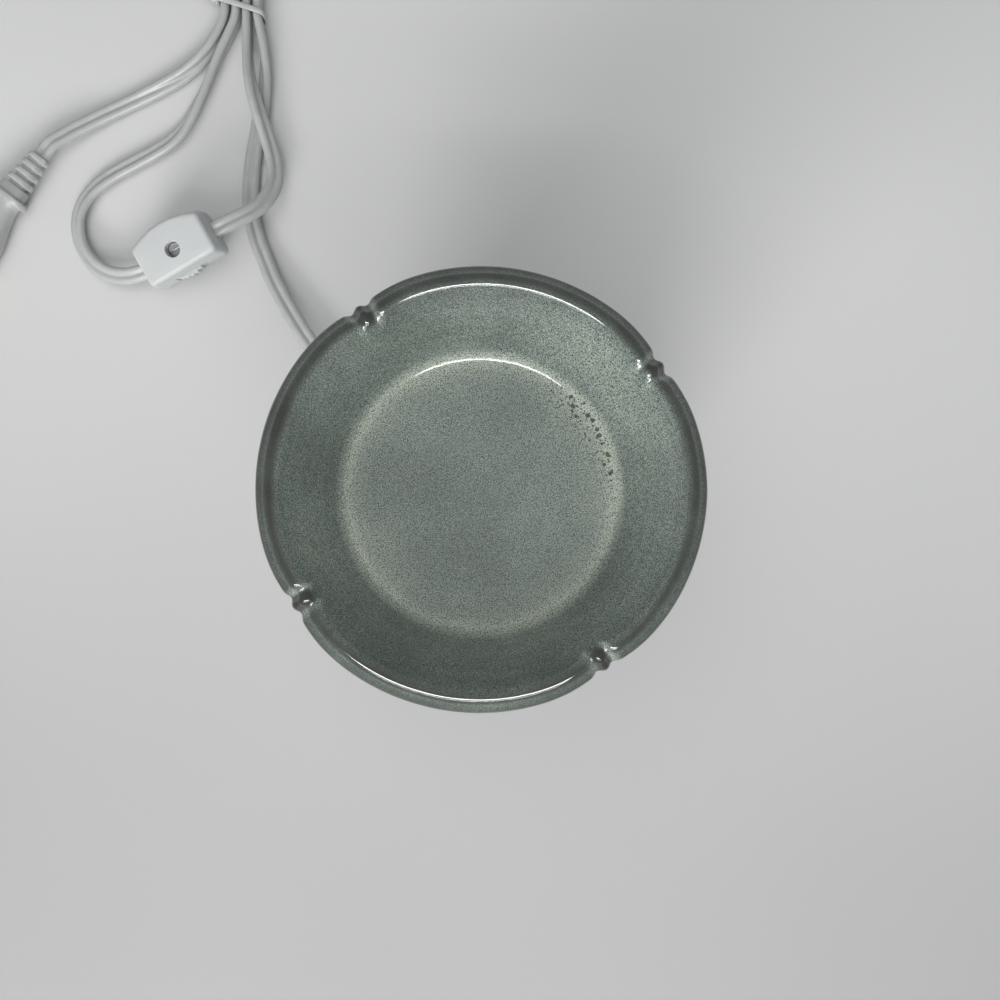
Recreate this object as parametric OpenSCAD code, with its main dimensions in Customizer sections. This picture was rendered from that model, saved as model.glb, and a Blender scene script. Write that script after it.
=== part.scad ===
/* [Dish] */
// Diameter of the dish across its lobes
dish_d = 138; // [132:1:146]
// Diameter of the dish's flat floor
dish_floor_d = 88; // [80:1:92]
// Depth of the dish from its lip to its floor
dish_depth = 22; // [18:1:28]
// Thickness of the dish's floor
dish_floor_t = 5; // [4:0.5:6]
// Width of the rolled lip's crest
lip_w = 6.4; // [5.6:0.2:7]
// How far the lip's outer edge stands out beyond its crest
lip_flare = 2.2; // [1.6:0.2:2.8]
// Depth of each groove across the lip
groove_depth = 1.4; // [0.8:0.2:2]
// Angle between the two grooves of a notch
groove_spread = 4.8; // [4.4:0.2:6]
// How far the lip draws in beside a notch
lobe_draw = 1.2; // [0:0.2:2]
// Height of the ring under the dish that centres it on the body
locating_ring_h = 4; // [2:0.5:6]
// Gap between the locating ring and the body's mouth
locating_gap = 1; // [0.5:0.25:2]

/* [Body] */
// Height of the body shell from its foot to its mouth
body_h = 86; // [80:1:95]
// Diameter of the body at its foot
foot_d = 93; // [88:1:100]
// Diameter of the body at its mouth
mouth_d = 98; // [94:1:104]
// How far the side swells between foot and mouth
belly = 4; // [0:0.5:7]
// Thickness of the stoneware wall
body_wall = 5; // [4:0.5:6]
// Height of the room under the shelf
under_shelf_h = 14; // [13:0.5:15]
// Thickness of the shelf that carries the socket
shelf_t = 4; // [3.5:0.5:5]
// Diameter of the vent holes at the back
vent_d = 8; // [5:0.5:10]
// Number of vent holes at the back
vent_count = 5; // [3:1:5]
// Height of the vent holes above the foot
vent_h = 70; // [60:1:74]
// Diameter of the air holes through the shelf
air_hole_d = 8; // [5:0.5:10]
// Diameter of a foot pad
pad_d = 5; // [4:0.5:5]
// Thickness of a foot pad
pad_t = 2; // [1.5:0.25:2.5]
// Rise of the dish above its seat
seat_gap = 0.3; // [0.3:0.1:0.5]

/* [Socket and bulb] */
// Outside diameter of the socket
socket_d = 20; // [19:0.5:24]
// Height of the socket
socket_h = 27; // [25:0.5:29]
// Outside diameter of the threaded nipple
nipple_d = 9.7; // [9.5:0.1:10.4]
// Bore of the nipple
nipple_bore = 7.5; // [7.4:0.1:7.8]
// Width across the flats of the lock nut
lock_nut_w = 15; // [14:0.5:17]
// Thickness of the lock nut
lock_nut_t = 3; // [2:0.5:3]
// Thickness of each washer
washer_t = 1; // [0.8:0.1:1.2]
// Diameter of the bulb's threaded cap
cap_d = 11.9; // [11.5:0.1:12.2]
// Pitch of the cap's thread
thread_pitch = 2.54; // [2.2:0.02:2.8]
// Radial clearance between the cap and the screw shell
thread_clearance = 0.1; // [0.05:0.05:0.2]
// Diameter of the bulb's glass
bulb_d = 22; // [19:1:26]
// Length of the bulb from tip to crown
bulb_len = 50; // [46:1:52]
// Thickness of the bulb's glass
glass_t = 0.8; // [0.6:0.1:1]

/* [Lead] */
// Width of the flat lead
lead_w = 7; // [6.8:0.1:7.2]
// Thickness of the flat lead
lead_t = 3.6; // [3.4:0.1:3.6]
// Length of the tail of the strain relief outside the body
relief_len = 24; // [20:1:26]
// Thickness of the wire ties
tie_t = 0.8; // [0.6:0.1:0.9]
// Width of the wire ties
tie_w = 2.6; // [2:0.2:4]

/* [Switch] */
// Length of the switch
switch_l = 33; // [33:0.5:35]
// Width of the switch at its parting line
switch_w = 19; // [18:0.5:20]
// Height of the switch
switch_h = 17.6; // [17:0.2:20]
// How much narrower the top and bottom faces are
switch_draft = 2.25; // [1:0.25:3]
// How far the switch's blind side bows out round the wheel
switch_bow = 3; // [2.8:0.1:3.4]
// Diameter of the thumb wheel
wheel_d = 22.8; // [22:0.2:24]
// Thickness of the thumb wheel
wheel_t = 5; // [4:0.5:5.5]
// Number of grooves in the thumb wheel's edge
wheel_grooves = 30; // [20:1:36]
// Radial running clearance of the thumb wheel
wheel_clearance = 0.05; // [0.03:0.01:0.08]
// Diameter of the switch screw's shank
screw_d = 3; // [2.5:0.1:3.2]

/* [Plug] */
// Length of the plug's grip
plug_l = 30; // [26:1:34]
// Width of the plug at its face
plug_w = 24; // [22:0.5:26]
// Height of the plug at its face
plug_h = 13; // [12.5:0.5:15]
// Length of the ribbed strain relief on the plug
plug_relief_l = 20; // [18:1:22]
// Distance between the blades
blade_pitch = 12.7; // [12:0.1:13]
// Length of the blades outside the plug
blade_l = 17.5; // [16:0.5:18]
// Thickness of the blades
blade_t = 1.5; // [1.3:0.1:1.7]

/* [Hidden] */
$fn = 64;

// Heights of the faces that pieces seat on
shelf_under = pad_t + under_shelf_h;
shelf_top = shelf_under + shelf_t;
body_top = pad_t + body_h;
dish_under = body_top + seat_gap;
dish_floor_z = dish_under + dish_floor_t;
rim_z = dish_floor_z + dish_depth;

// Direction in which the lead leaves the body, and the pieces placed by it
back_angle = 138;
relief_z = 7;
arch_w = 10;
fit_gap = 0.1;

// Outside radius of the body at a height above the foot
function side_r(h) =
  foot_d / 2 + (mouth_d - foot_d) / 2 * h / body_h + belly * sin(180 * h / body_h);

// Dish: each profile point is [radius, height, share of the lip's shaping]
notch_angles = [35, 124, 212, 305];
groove_sigma = 1;
draw_sigma = 6.5;
// How far each lobe reaches beyond the mean, as [angle, mm]
reach = [[0, 0.9], [80, 0.9], [160, 0.4], [200, -0.3], [255, -1.1], [300, -1.3], [330, 0], [360, 0.9]];
lip_r = dish_d / 2;
lip_round = lip_w / 2;
floor_r = dish_floor_d / 2;
floor_fillet = 3;
seat_r = mouth_d / 2;
ring_r = mouth_d / 2 - body_wall - locating_gap;
ring_w = 4.5;
lip_c = [lip_r - lip_flare - lip_round, rim_z - lip_round];
wall_foot = [floor_r + floor_fillet * 0.3, dish_floor_z + floor_fillet * 0.36];
wall_head = [lip_c[0] + lip_round * cos(140), lip_c[1] + lip_round * sin(140)];
wall_sag = 0.25;
under_sag = 1.2;
function arc2(c, r, a0, a1, n, w) =
  [for (i = [0:n]) let (a = a0 + (a1 - a0) * i / n) [c[0] + r * cos(a), c[1] + r * sin(a), w]];
function wall_point(t) = [
  wall_foot[0] + (wall_head[0] - wall_foot[0]) * t + wall_sag * sin(180 * t),
  wall_foot[1] + (wall_head[1] - wall_foot[1]) * t - wall_sag * sin(180 * t),
  pow(t, 3)
];
lip_side = [lip_r - 0.6, rim_z - lip_w * 0.92];
under_foot = [seat_r + 1.5, dish_under + 1];
function under_point(t) = [
  lip_side[0] + (under_foot[0] - lip_side[0]) * t - under_sag * sin(180 * t),
  lip_side[1] + (under_foot[1] - lip_side[1]) * t + under_sag * sin(180 * t),
  pow(1 - t, 2)
];
dish_profile = concat(
  [[floor_r - floor_fillet * 0.47, dish_floor_z, 0]],
  [[floor_r - floor_fillet * 0.05, dish_floor_z + floor_fillet * 0.1, 0]],
  [for (i = [0:4]) wall_point(i / 5)],
  arc2(lip_c, lip_round, 140, 35, 7, 1),
  [[lip_r - 0.7, rim_z - lip_w * 0.42, 1], [lip_r, rim_z - lip_w * 0.69, 1]],
  [for (i = [0:5]) under_point(i / 5)],
  [[seat_r - 0.5, dish_under, 0]],
  [[ring_r, dish_under, 0]],
  [[ring_r, dish_under - locating_ring_h + 0.6, 0]],
  [[ring_r - 0.6, dish_under - locating_ring_h, 0]],
  [[ring_r - ring_w + 0.6, dish_under - locating_ring_h, 0]],
  [[ring_r - ring_w, dish_under - locating_ring_h + 0.6, 0]],
  [[ring_r - ring_w, dish_under, 0]]
);
function bell(x, s) = exp(-x * x / (2 * s * s));
function turn_gap(a, b) = let (d = abs(a - b) % 360) min(d, 360 - d);
function signed_gap(a, b) = let (d = (a - b) % 360) d > 180 ? d - 360 : d < -180 ? d + 360 : d;
function groove_at(a) =
  max([for (n = notch_angles) let (d = signed_gap(a, n))
    bell(d - groove_spread / 2, groove_sigma) + bell(d + groove_spread / 2, groove_sigma)]);
function draw_at(a) = max([for (n = notch_angles) bell(turn_gap(a, n), draw_sigma)]);
notch_steps = [-11, -8, -6, -4.9, -3.9, -3.2, -2.6, -2, -1.3, -0.6, 0, 0.6, 1.3, 2, 2.6, 3.2, 3.9, 4.9, 6, 8, 11];
plain_steps = 11;
dish_angles = [for (k = [0:3]) let (a = notch_angles[k], b = k == 3 ? notch_angles[0] + 360 : notch_angles[k + 1])
  each concat([for (s = notch_steps) a + s], [for (i = [1:plain_steps - 1]) a + 11 + (b - a - 22) * i / plain_steps])];
function dish_point(p, a) =
  let (g = groove_at(a), r = p[0] + p[2] * (lookup(a % 360, reach) - lobe_draw * draw_at(a) - groove_depth * 0.6 * g),
       z = p[1] - p[2] * groove_depth * g)
  [r * cos(a), r * sin(a), z];

module dish() {
  np = len(dish_profile);
  na = len(dish_angles);
  rings = [for (a = dish_angles) for (p = dish_profile) dish_point(p, a)];
  top_c = np * na;
  low_c = np * na + 1;
  caps = [[0, 0, dish_floor_z], [0, 0, dish_under]];
  sides = [for (i = [0:na - 1]) for (j = [0:np - 2])
    let (k = (i + 1) % na, a = i * np + j, b = k * np + j)
    each [[a, b, b + 1], [a, b + 1, a + 1]]];
  tops = [for (i = [0:na - 1]) [top_c, ((i + 1) % na) * np, i * np]];
  lows = [for (i = [0:na - 1]) [low_c, i * np + np - 1, ((i + 1) % na) * np + np - 1]];
  color("#7d8a82") polyhedron(concat(rings, caps), concat(sides, tops, lows), convexity = 6);
}

// Body shell
side_steps = 14;
mouth_round = 1;
vent_pitch = 18;
air_hole_r = 28;
module wall_hole(a, h, d) {
  rotate([0, 0, a])
    translate([side_r(h) - body_wall - 3, 0, pad_t + h])
      rotate([0, 90, 0]) cylinder(d = d, h = body_wall + 6, $fn = 32);
}
module lead_arch(w, r0, r1, low) {
  rotate([0, 0, back_angle]) {
    translate([r0, 0, relief_z]) rotate([0, 90, 0]) cylinder(d = w, h = r1 - r0, $fn = 32);
    translate([r0, -w / 2, low]) cube([r1 - r0, w, relief_z - low]);
  }
}
module body_shell() {
  out = [for (i = [0:side_steps]) let (h = 0.8 + (body_h - 0.8 - mouth_round) * i / side_steps) [side_r(h), pad_t + h]];
  inner = [for (i = [side_steps:-1:0])
    let (h0 = under_shelf_h + shelf_t + 2, h = h0 + (body_h - mouth_round - h0) * i / side_steps)
    [side_r(h) - body_wall, pad_t + h]];
  color("#7d8a82")
    difference() {
      rotate_extrude($fn = 128)
        polygon(concat(
          [[side_r(0) - body_wall, pad_t], [side_r(0) - 0.6, pad_t]],
          out,
          [[side_r(body_h) - mouth_round, body_top], [side_r(body_h) - body_wall + mouth_round, body_top]],
          inner,
          [[side_r(under_shelf_h) - body_wall - 2, shelf_top], [0, shelf_top], [0, shelf_under]],
          [[side_r(under_shelf_h) - body_wall - 1, shelf_under]],
          [[side_r(under_shelf_h) - body_wall, shelf_under - 1]]
        ));
      translate([0, 0, shelf_under - 1]) cylinder(d = nipple_d + 2 * fit_gap, h = shelf_t + 2);
      for (a = [45, 135, 225, 315])
        rotate([0, 0, back_angle + a])
          translate([air_hole_r, 0, shelf_under - 1]) cylinder(d = air_hole_d, h = shelf_t + 2, $fn = 32);
      for (i = [0:vent_count - 1])
        wall_hole(back_angle + vent_pitch * (i - (vent_count - 1) / 2), vent_h, vent_d);
      lead_arch(arch_w, side_r(relief_z - pad_t) - body_wall - 3, side_r(relief_z - pad_t) + 3, 0);
    }
}
pad_r = side_r(0) - body_wall / 2;
module foot_pads() {
  color("#d8d5cc")
    for (a = [45, 135, 225, 315])
      rotate([0, 0, back_angle + a])
        translate([pad_r, 0, 0]) cylinder(d = pad_d, h = pad_t, $fn = 32);
}

// Socket and what clamps it to the shelf
socket_z = shelf_top + washer_t;
socket_floor = 9;
well_d = cap_d + 2.9;
well_z = socket_z + socket_floor;
nipple_top = socket_z + socket_floor - 2;
nipple_low = shelf_under - washer_t - lock_nut_t;
tip_z = well_z + 1;
module socket_body() {
  color("#ece9e0")
    difference() {
      union() {
        translate([0, 0, socket_z]) cylinder(d1 = socket_d + 3, d2 = socket_d + 3, h = 5);
        translate([0, 0, socket_z + 5]) cylinder(d1 = socket_d + 3, d2 = socket_d, h = 2);
        translate([0, 0, socket_z + 7]) cylinder(d = socket_d, h = socket_h - 8);
        translate([0, 0, socket_z + socket_h - 1]) cylinder(d1 = socket_d, d2 = socket_d - 1.6, h = 1);
      }
      translate([0, 0, socket_z - 1]) cylinder(d = nipple_d + 2 * fit_gap, h = nipple_top - socket_z + 1);
      translate([0, 0, socket_z]) cylinder(d = nipple_bore, h = socket_floor + 1);
      translate([0, 0, well_z]) cylinder(d = well_d, h = socket_h);
    }
}
thread_depth = 0.3;
cap_low = tip_z + 4;
cap_top = tip_z + 18;
thread_turns = 4;
thread_top = cap_low + thread_turns * thread_pitch;
thread_low = cap_low + thread_pitch / 2;
function crest(z) = cap_d / 2 - thread_depth * (1 - cos(360 * (z - cap_low) / thread_pitch));
thread_z = [for (i = [0:4 * thread_turns]) cap_low + thread_pitch * i / 4];
module screw_shell() {
  t = 0.4;
  g = thread_clearance;
  color("#b08d3c")
    rotate_extrude()
      polygon(concat(
        [[4.6, well_z], [crest(cap_low) + g + t, well_z]],
        [for (z = thread_z) [crest(z) + g + t, z]],
        [[crest(thread_top) + g + t, thread_top + 2], [crest(thread_top) + g, thread_top + 2]],
        [for (i = [len(thread_z) - 1:-1:0]) [crest(thread_z[i]) + g, thread_z[i]]],
        [[crest(cap_low) + g, well_z + t], [4.6, well_z + t]]
      ));
}
module centre_contact() {
  color("#c9a227") {
    translate([-4, -1.6, well_z]) cube([5, 3.2, 0.5]);
    translate([-1.4, -1.2, well_z]) cube([2.4, 2.4, tip_z - well_z - 0.3]);
  }
}
core_pitch = lead_w - lead_t;
module socket_wires() {
  color("#b5651d")
    for (s = [-1, 1])
      rotate([0, 0, back_angle + 90])
        translate([s * core_pitch / 2, 0, nipple_top]) cylinder(d = 1.4, h = well_z - nipple_top, $fn = 16);
}
module threaded_nipple() {
  color("#b9b6ae")
    difference() {
      translate([0, 0, nipple_low]) cylinder(d = nipple_d, h = nipple_top - nipple_low);
      translate([0, 0, nipple_low - 1]) cylinder(d = nipple_bore, h = nipple_top - nipple_low + 2);
    }
}
module lock_nut() {
  color("#b9b6ae")
    difference() {
      translate([0, 0, nipple_low]) cylinder(d = lock_nut_w / cos(30), h = lock_nut_t, $fn = 6);
      translate([0, 0, nipple_low - 1]) cylinder(d = nipple_d + 2 * fit_gap, h = lock_nut_t + 2);
    }
}
module flat_washer(z, d) {
  difference() {
    translate([0, 0, z]) cylinder(d = d, h = washer_t);
    translate([0, 0, z - 1]) cylinder(d = nipple_d + 2 * fit_gap, h = washer_t + 2);
  }
}
module clamp_washer() { color("#c7c4bc") flat_washer(shelf_under - washer_t, lock_nut_w + 5); }
module cushion_washer() { color("#3a3a3a") flat_washer(shelf_top, socket_d + 2); }

// Lead inside the body and the relief that holds it in the foot ring
flange_w = 13;
flange_t = 2;
relief_in_r = sqrt(pow(side_r(0) - body_wall, 2) - pow(flange_w / 2, 2)) - fit_gap;
relief_out_r = side_r(relief_z + flange_w / 2 - pad_t) + fit_gap;
relief_end_r = relief_out_r + flange_t + relief_len;
module strain_relief() {
  rib_pitch = relief_len / 6;
  color("#f0efeb") {
    difference() {
      union() {
        lead_arch(arch_w - 2 * fit_gap, relief_in_r - 0.01, relief_out_r + 0.01, pad_t);
        rotate([0, 0, back_angle]) {
          translate([relief_in_r - flange_t, 0, relief_z]) rotate([0, 90, 0]) cylinder(d = flange_w, h = flange_t);
          translate([relief_out_r, 0, relief_z]) rotate([0, 90, 0]) cylinder(d = flange_w, h = flange_t);
          translate([relief_out_r + flange_t, 0, relief_z])
            rotate([0, 90, 0]) cylinder(d1 = lead_w + 3.4, d2 = lead_w + 1.2, h = relief_len);
        }
      }
      for (i = [1:4])
        rotate([0, 0, back_angle])
          translate([relief_out_r + flange_t + rib_pitch * i, 0, relief_z])
            rotate([0, 90, 0])
              difference() {
                cylinder(d = 14, h = 1.4);
                translate([0, 0, -1]) cylinder(d = lead_w + 0.6, h = 4);
              }
    }
  }
}
module lead_section() {
  r = lead_t / 2;
  for (s = [-1, 1]) translate([s * core_pitch / 2, 0]) circle(r = r, $fn = 24);
  square([core_pitch, lead_t], center = true);
}
inner_bend = nipple_low - relief_z;
module inner_lead() {
  color("#f0efeb")
    rotate([0, 0, back_angle]) {
      translate([inner_bend, 0, relief_z])
        rotate([90, 0, 90]) linear_extrude(relief_in_r - flange_t - inner_bend) lead_section();
      translate([inner_bend, 0, nipple_low])
        rotate([90, 0, 0]) rotate([0, 0, 180])
          rotate_extrude(angle = 90) translate([inner_bend, 0]) rotate([0, 0, 90]) lead_section();
      translate([0, 0, nipple_low]) rotate([0, 0, 90]) linear_extrude(nipple_top - nipple_low) lead_section();
    }
}

// Bulb
glass_r = bulb_d / 2;
neck_r = cap_d / 2 - 0.9;
crown_z = tip_z + bulb_len;
neck_z = cap_top - 2;
glass_mid = crown_z - glass_r - 3;
function glass_profile(o) = concat(
  [[neck_r - o, neck_z], [neck_r - o, cap_top + 2]],
  [for (i = [1:5]) let (t = i / 6, s = t * t * (3 - 2 * t))
    [neck_r - o + (glass_r - neck_r) * s, cap_top + 2 + (glass_mid - cap_top - 2) * t]],
  [for (i = [0:8]) [(glass_r - o) * cos(i * 11.25), glass_mid + (glass_r + 3 - o) * sin(i * 11.25)]]
);
function turned(p) = [for (i = [len(p) - 1:-1:0]) p[i]];
module bulb_glass() {
  color([0.9, 0.93, 0.95, 0.4])
    rotate_extrude() polygon(concat(glass_profile(0), turned(glass_profile(glass_t))));
}
module bulb_cap() {
  t = 0.4;
  color("#c9c3b2")
    rotate_extrude()
      polygon(concat(
        [for (z = thread_z) [crest(z), z]],
        [[crest(thread_top), cap_top], [neck_r + 0.05, cap_top], [neck_r + 0.05, thread_top + 0.5]],
        [for (i = [len(thread_z) - 1:-1:0]) [crest(thread_z[i]) - t, thread_z[i]]]
      ));
}
module bulb_insulator() {
  color("#1d1d1f")
    translate([0, 0, tip_z + 1]) cylinder(d1 = 6, d2 = cap_d - 1.2, h = cap_low - tip_z - 1);
}
module bulb_tip() {
  color("#b7b7b0") translate([0, 0, tip_z]) cylinder(d1 = 3.6, d2 = 5, h = 1);
}
stem_top = cap_top + 12;
module bulb_stem() {
  color([0.85, 0.9, 0.92, 0.6]) {
    translate([0, 0, cap_low]) cylinder(d1 = cap_d - 2.4, d2 = 3, h = neck_z - cap_low);
    translate([0, 0, neck_z]) cylinder(d = 3, h = stem_top - neck_z, $fn = 24);
  }
}
filament_r = 3;
module bulb_filament() {
  color("#6f6f73") {
    for (s = [-1, 1])
      translate([s * (filament_r - 1.1), 0, stem_top]) cylinder(d = 0.5, h = 8, $fn = 16);
    translate([-filament_r, 0, stem_top + 8]) rotate([0, 90, 0]) cylinder(d = 0.8, h = 2 * filament_r, $fn = 16);
    translate([0, 0, stem_top]) cylinder(d = 4.4, h = 0.6, $fn = 24);
  }
}

// Lead: each route point is [x, y, height of the underside, roll in degrees; 0 lies flat, 90 stands on edge]
bundle_y = 206;
arc_y = 216;
strand_x = [-107, -102.4, -97.8, -93.2];
lead_lift = 1;
exit_lift = relief_z - lead_t / 2;
switch_c = [-121.5, 103.6];
switch_yaw = 27;
switch_pitch = 12;
switch_lean = 9;
switch_mid = switch_h / 2;
corner_r = 2.2;
foot_half = [(switch_l - switch_draft) / 2 - 0.6 - corner_r, (switch_w - switch_draft) / 2 - 0.6 - corner_r];
foot_rise = [sin(switch_pitch), cos(switch_pitch) * sin(switch_lean)];
switch_z = switch_mid * cos(switch_pitch) * cos(switch_lean) + foot_half * foot_rise + corner_r * norm(foot_rise);
function switch_end(s, far) =
  let (d = s * (switch_l / 2 + far), along = d * cos(switch_pitch))
  [switch_c[0] + along * cos(switch_yaw), switch_c[1] + along * sin(switch_yaw), switch_lift + d * sin(switch_pitch)];
function lead_half(roll) =
  max(lead_t / 2 * cos(roll) + (core_pitch / 2 + 0.5) * abs(sin(roll)), lead_w / 2 * abs(sin(roll)) + lead_t / 5 * cos(roll));
switch_lift = switch_z - lead_half(switch_lean);
function at_switch(s, far) = concat(switch_end(s, far), [switch_lean]);
function spoke(r, lift) = [r * cos(back_angle), r * sin(back_angle), lift, 0];

route_from_body = concat(
  [spoke(relief_end_r, exit_lift), spoke(relief_end_r + lead_w, exit_lift)],
  [
    [-65, 60.5, 4.6, 0], [-71, 69, 4, 0], [-76.5, 77.5, 3.2, 0], [-81.5, 86, 2.4, 0],
    [-86, 94.5, 1.6, 0], [-89.5, 103, 0.8, 0], [-92.5, 110.5, 0.2, 0], [-94.5, 117.5, 0, 0],
    [-95.7, 124.5, 0, 0], [-96, 131.5, 0, 0], [-95.7, 138.5, 0, 5], [-95, 146, 0, 10],
    [-93.7, 154, 0, 12], [-92.4, 162.5, 0, 14], [-91.2, 171, 0, 24], [-90.4, 180, 0.1, 50],
    [-90.4, 188.5, 0.4, 75], [-91.4, 197, 0.8, 88]
  ],
  [[strand_x[3], bundle_y, lead_lift, 90], [strand_x[3], arc_y, lead_lift, 90]]
);
route_to_switch = concat(
  [[strand_x[2], arc_y, lead_lift, 90], [strand_x[2], bundle_y, lead_lift, 90]],
  [
    [-97.6, 197.5, 1, 90], [-97.2, 189, 1.6, 85], [-96, 180, 3.6, 75], [-93.9, 171, 5.2, 60],
    [-91.3, 162.5, 5.4, 50], [-88.6, 154, 4, 42], [-86.3, 146.5, 3.2, 34], [-85, 139.5, 3.8, 26],
    [-85.1, 133.2, 5.4, 20], [-87, 127.4, 7.6, 16], [-90, 122.6, 9.8, 12], [-94, 118.8, 12, 10],
    [-98.5, 115.8, 13.6, 9]
  ],
  [at_switch(1, lead_t), at_switch(1, 0)]
);
route_from_switch = concat(
  [at_switch(-1, 0)],
  [
    [-140.3, 94.9, 6.2, 12], [-144.8, 94.3, 5.2, 16], [-149.3, 94.7, 4.1, 21], [-153.6, 96.1, 3, 26],
    [-157.5, 98.4, 2, 31], [-160.9, 101.5, 1.1, 35], [-163.7, 105.3, 0.4, 38], [-165.8, 109.6, 0, 38], [-167, 115, 0, 38],
    [-166.9, 120.6, 0, 36], [-165.2, 126, 0, 32], [-162, 130.9, 0, 26], [-157.4, 135.4, 0, 20],
    [-151.6, 139.5, 0, 14], [-145, 143.3, 0, 12], [-138.4, 147, 0, 14], [-132.2, 150.7, 0, 20],
    [-127.4, 154.5, 0, 28], [-123.7, 159, 0, 38], [-120.4, 164.6, 0, 50], [-117.3, 171, 0, 60],
    [-114.4, 177.6, 0, 70], [-111.7, 184.2, 0.2, 78], [-108.7, 191.2, 0.4, 84], [-105.2, 198.4, 0.8, 89]
  ],
  [[strand_x[1], bundle_y, lead_lift, 90], [strand_x[1], arc_y, lead_lift, 90]]
);

// Plug: where its lead enters, and the way it points
plug_at = [-181.4, 144.3];
plug_dir = 233;
plug_z = plug_h / 2;
route_to_plug = concat(
  [[strand_x[0], arc_y, lead_lift, 90], [strand_x[0], bundle_y, lead_lift, 90]],
  [
    [-109.9, 198.6, 0.8, 88], [-113.8, 191.8, 0.4, 76], [-119, 185.7, 0.1, 56], [-125.6, 180.5, 0, 38],
    [-132.7, 176.4, 0, 20], [-140.1, 172.6, 0, 8], [-147.6, 168.8, 0.1, 0], [-155, 164.9, 0.6, 0],
    [-162, 160.8, 1.4, 0], [-168.4, 156.7, 2.6, 0], [-173.4, 153, 3.7, 0]
  ],
  [[plug_at[0] - lead_w * cos(plug_dir), plug_at[1] - lead_w * sin(plug_dir), plug_z - lead_t / 2, 0]],
  [[plug_at[0], plug_at[1], plug_z - lead_t / 2, 0]]
);

// Loop of slack between the body and the switch
slack_r = 33;
turn_r = 28;
slack_c = [strand_x[2] + slack_r, arc_y + turn_r + slack_r];
function arc4(c, r, a0, a1, n, lift, roll) =
  [for (i = [0:n]) let (a = a0 + (a1 - a0) * i / n) [c[0] + r * cos(a), c[1] + r * sin(a), lift, roll]];
route_loop = concat(
  [for (p = arc4([strand_x[3] + turn_r, arc_y], turn_r, 180, 90, 6, lead_lift, 90)) p],
  [for (i = [1:18]) let (a = -90 + 15 * i) [slack_c[0] + slack_r * cos(a), slack_c[1] + slack_r * sin(a), lead_lift, 90]],
  [for (d = [slack_r * 2 / 3, turn_r * 3 / 2]) [strand_x[2], slack_c[1] - d, lead_lift, 90]],
  [[strand_x[2], arc_y, lead_lift, 90]]
);

// Coil: in on the lower layer, out on the upper one, with a climb in the half turn where it reverses
coil_r = 40;
coil_pitch = 4.5;
coil_climb = lead_w + 0.6;
coil_steps = 24;
coil_turns = 3;
out_r = 29;
coil_x = strand_x[1] - coil_r;
out_x = strand_x[0] - out_r;
leave_angle = -acos((out_x - coil_x) / (coil_r + out_r));
coil_c = [coil_x, arc_y + sqrt(pow(coil_r + out_r, 2) - pow(out_x - coil_x, 2))];
coil_span = 360 * coil_turns + 360 + leave_angle;
coil_n = round(coil_span / 360 * coil_steps);
function coil_point(i) =
  let (a = coil_span * i / coil_n, u = a - coil_span / 2,
       r = coil_r - coil_pitch * (coil_span / 2 - abs(u)) / 360,
       z = lead_lift + coil_climb * min(1, max(0, (u + 90) / 180)))
  [coil_c[0] + r * cos(a), coil_c[1] + r * sin(a), z, 90];
route_coil = [for (i = [0:coil_n]) coil_point(i)];
route_into_coil = [[strand_x[1], arc_y, lead_lift, 90],
  for (i = [1:4]) [strand_x[1], arc_y + (coil_c[1] - arc_y) * i / 4, lead_lift, 90]];
out_turn = 180 + leave_angle;
route_out_of_coil = [for (i = [0:8])
  let (t = i / 8, a = out_turn * (1 - t), s = t * t * (3 - 2 * t))
  [out_x + out_r * cos(a), arc_y + out_r * sin(a), lead_lift + coil_climb * (1 - s), 90]];

function unit(v) = v / norm(v);
function centre_of(p) = [p[0], p[1], p[2] + lead_half(p[3])];
function heading(c, i) =
  i == 0 ? unit(c[1] - c[0]) : i == len(c) - 1 ? unit(c[i] - c[i - 1]) : unit(c[i + 1] - c[i - 1]);
function ring(c, roll, t, shape) =
  let (s = unit([t[1], -t[0], 0]), u = cross(s, t))
  [for (q = shape) c + (q[0] * cos(roll) - q[1] * sin(roll)) * s + (q[0] * sin(roll) + q[1] * cos(roll)) * u];
tube_shape = [
  [lead_w / 2, lead_t / 5], [core_pitch / 2 + 0.5, lead_t / 2], [-core_pitch / 2 - 0.5, lead_t / 2], [-lead_w / 2, lead_t / 5],
  [-lead_w / 2, -lead_t / 5], [-core_pitch / 2 - 0.5, -lead_t / 2], [core_pitch / 2 + 0.5, -lead_t / 2], [lead_w / 2, -lead_t / 5]
];
coil_shape = [
  [lead_w / 2, 0], [core_pitch / 2, lead_t / 2], [-core_pitch / 2, lead_t / 2],
  [-lead_w / 2, 0], [-core_pitch / 2, -lead_t / 2], [core_pitch / 2, -lead_t / 2]
];
module swept(route, shape, first = [], last = []) {
  n = len(shape);
  m = len(route);
  c = [for (p = route) centre_of(p)];
  dirs = [for (i = [0:m - 1])
    i == 0 && len(first) > 0 ? first : i == m - 1 && len(last) > 0 ? last : heading(c, i)];
  points = [for (i = [0:m - 1]) each ring(c[i], route[i][3], dirs[i], shape)];
  sides = [for (i = [0:m - 2]) for (j = [0:n - 1])
    let (k = (j + 1) % n, a = i * n, b = a + n)
    each [[a + j, a + k, b + k], [a + j, b + k, b + j]]];
  caps = [for (j = [1:n - 2]) each [[0, j + 1, j], [(m - 1) * n, (m - 1) * n + j, (m - 1) * n + j + 1]]];
  color("#f0efeb") polyhedron(points, concat(sides, caps), convexity = 10);
}
north = [0, 1, 0];
module lead_from_body() { swept(route_from_body, tube_shape, last = north); }
module lead_loop() { swept(route_loop, tube_shape, first = north, last = -north); }
module lead_to_switch() { swept(route_to_switch, tube_shape, first = -north); }
switch_out = -[cos(switch_yaw) * cos(switch_pitch), sin(switch_yaw) * cos(switch_pitch), sin(switch_pitch)];
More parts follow.
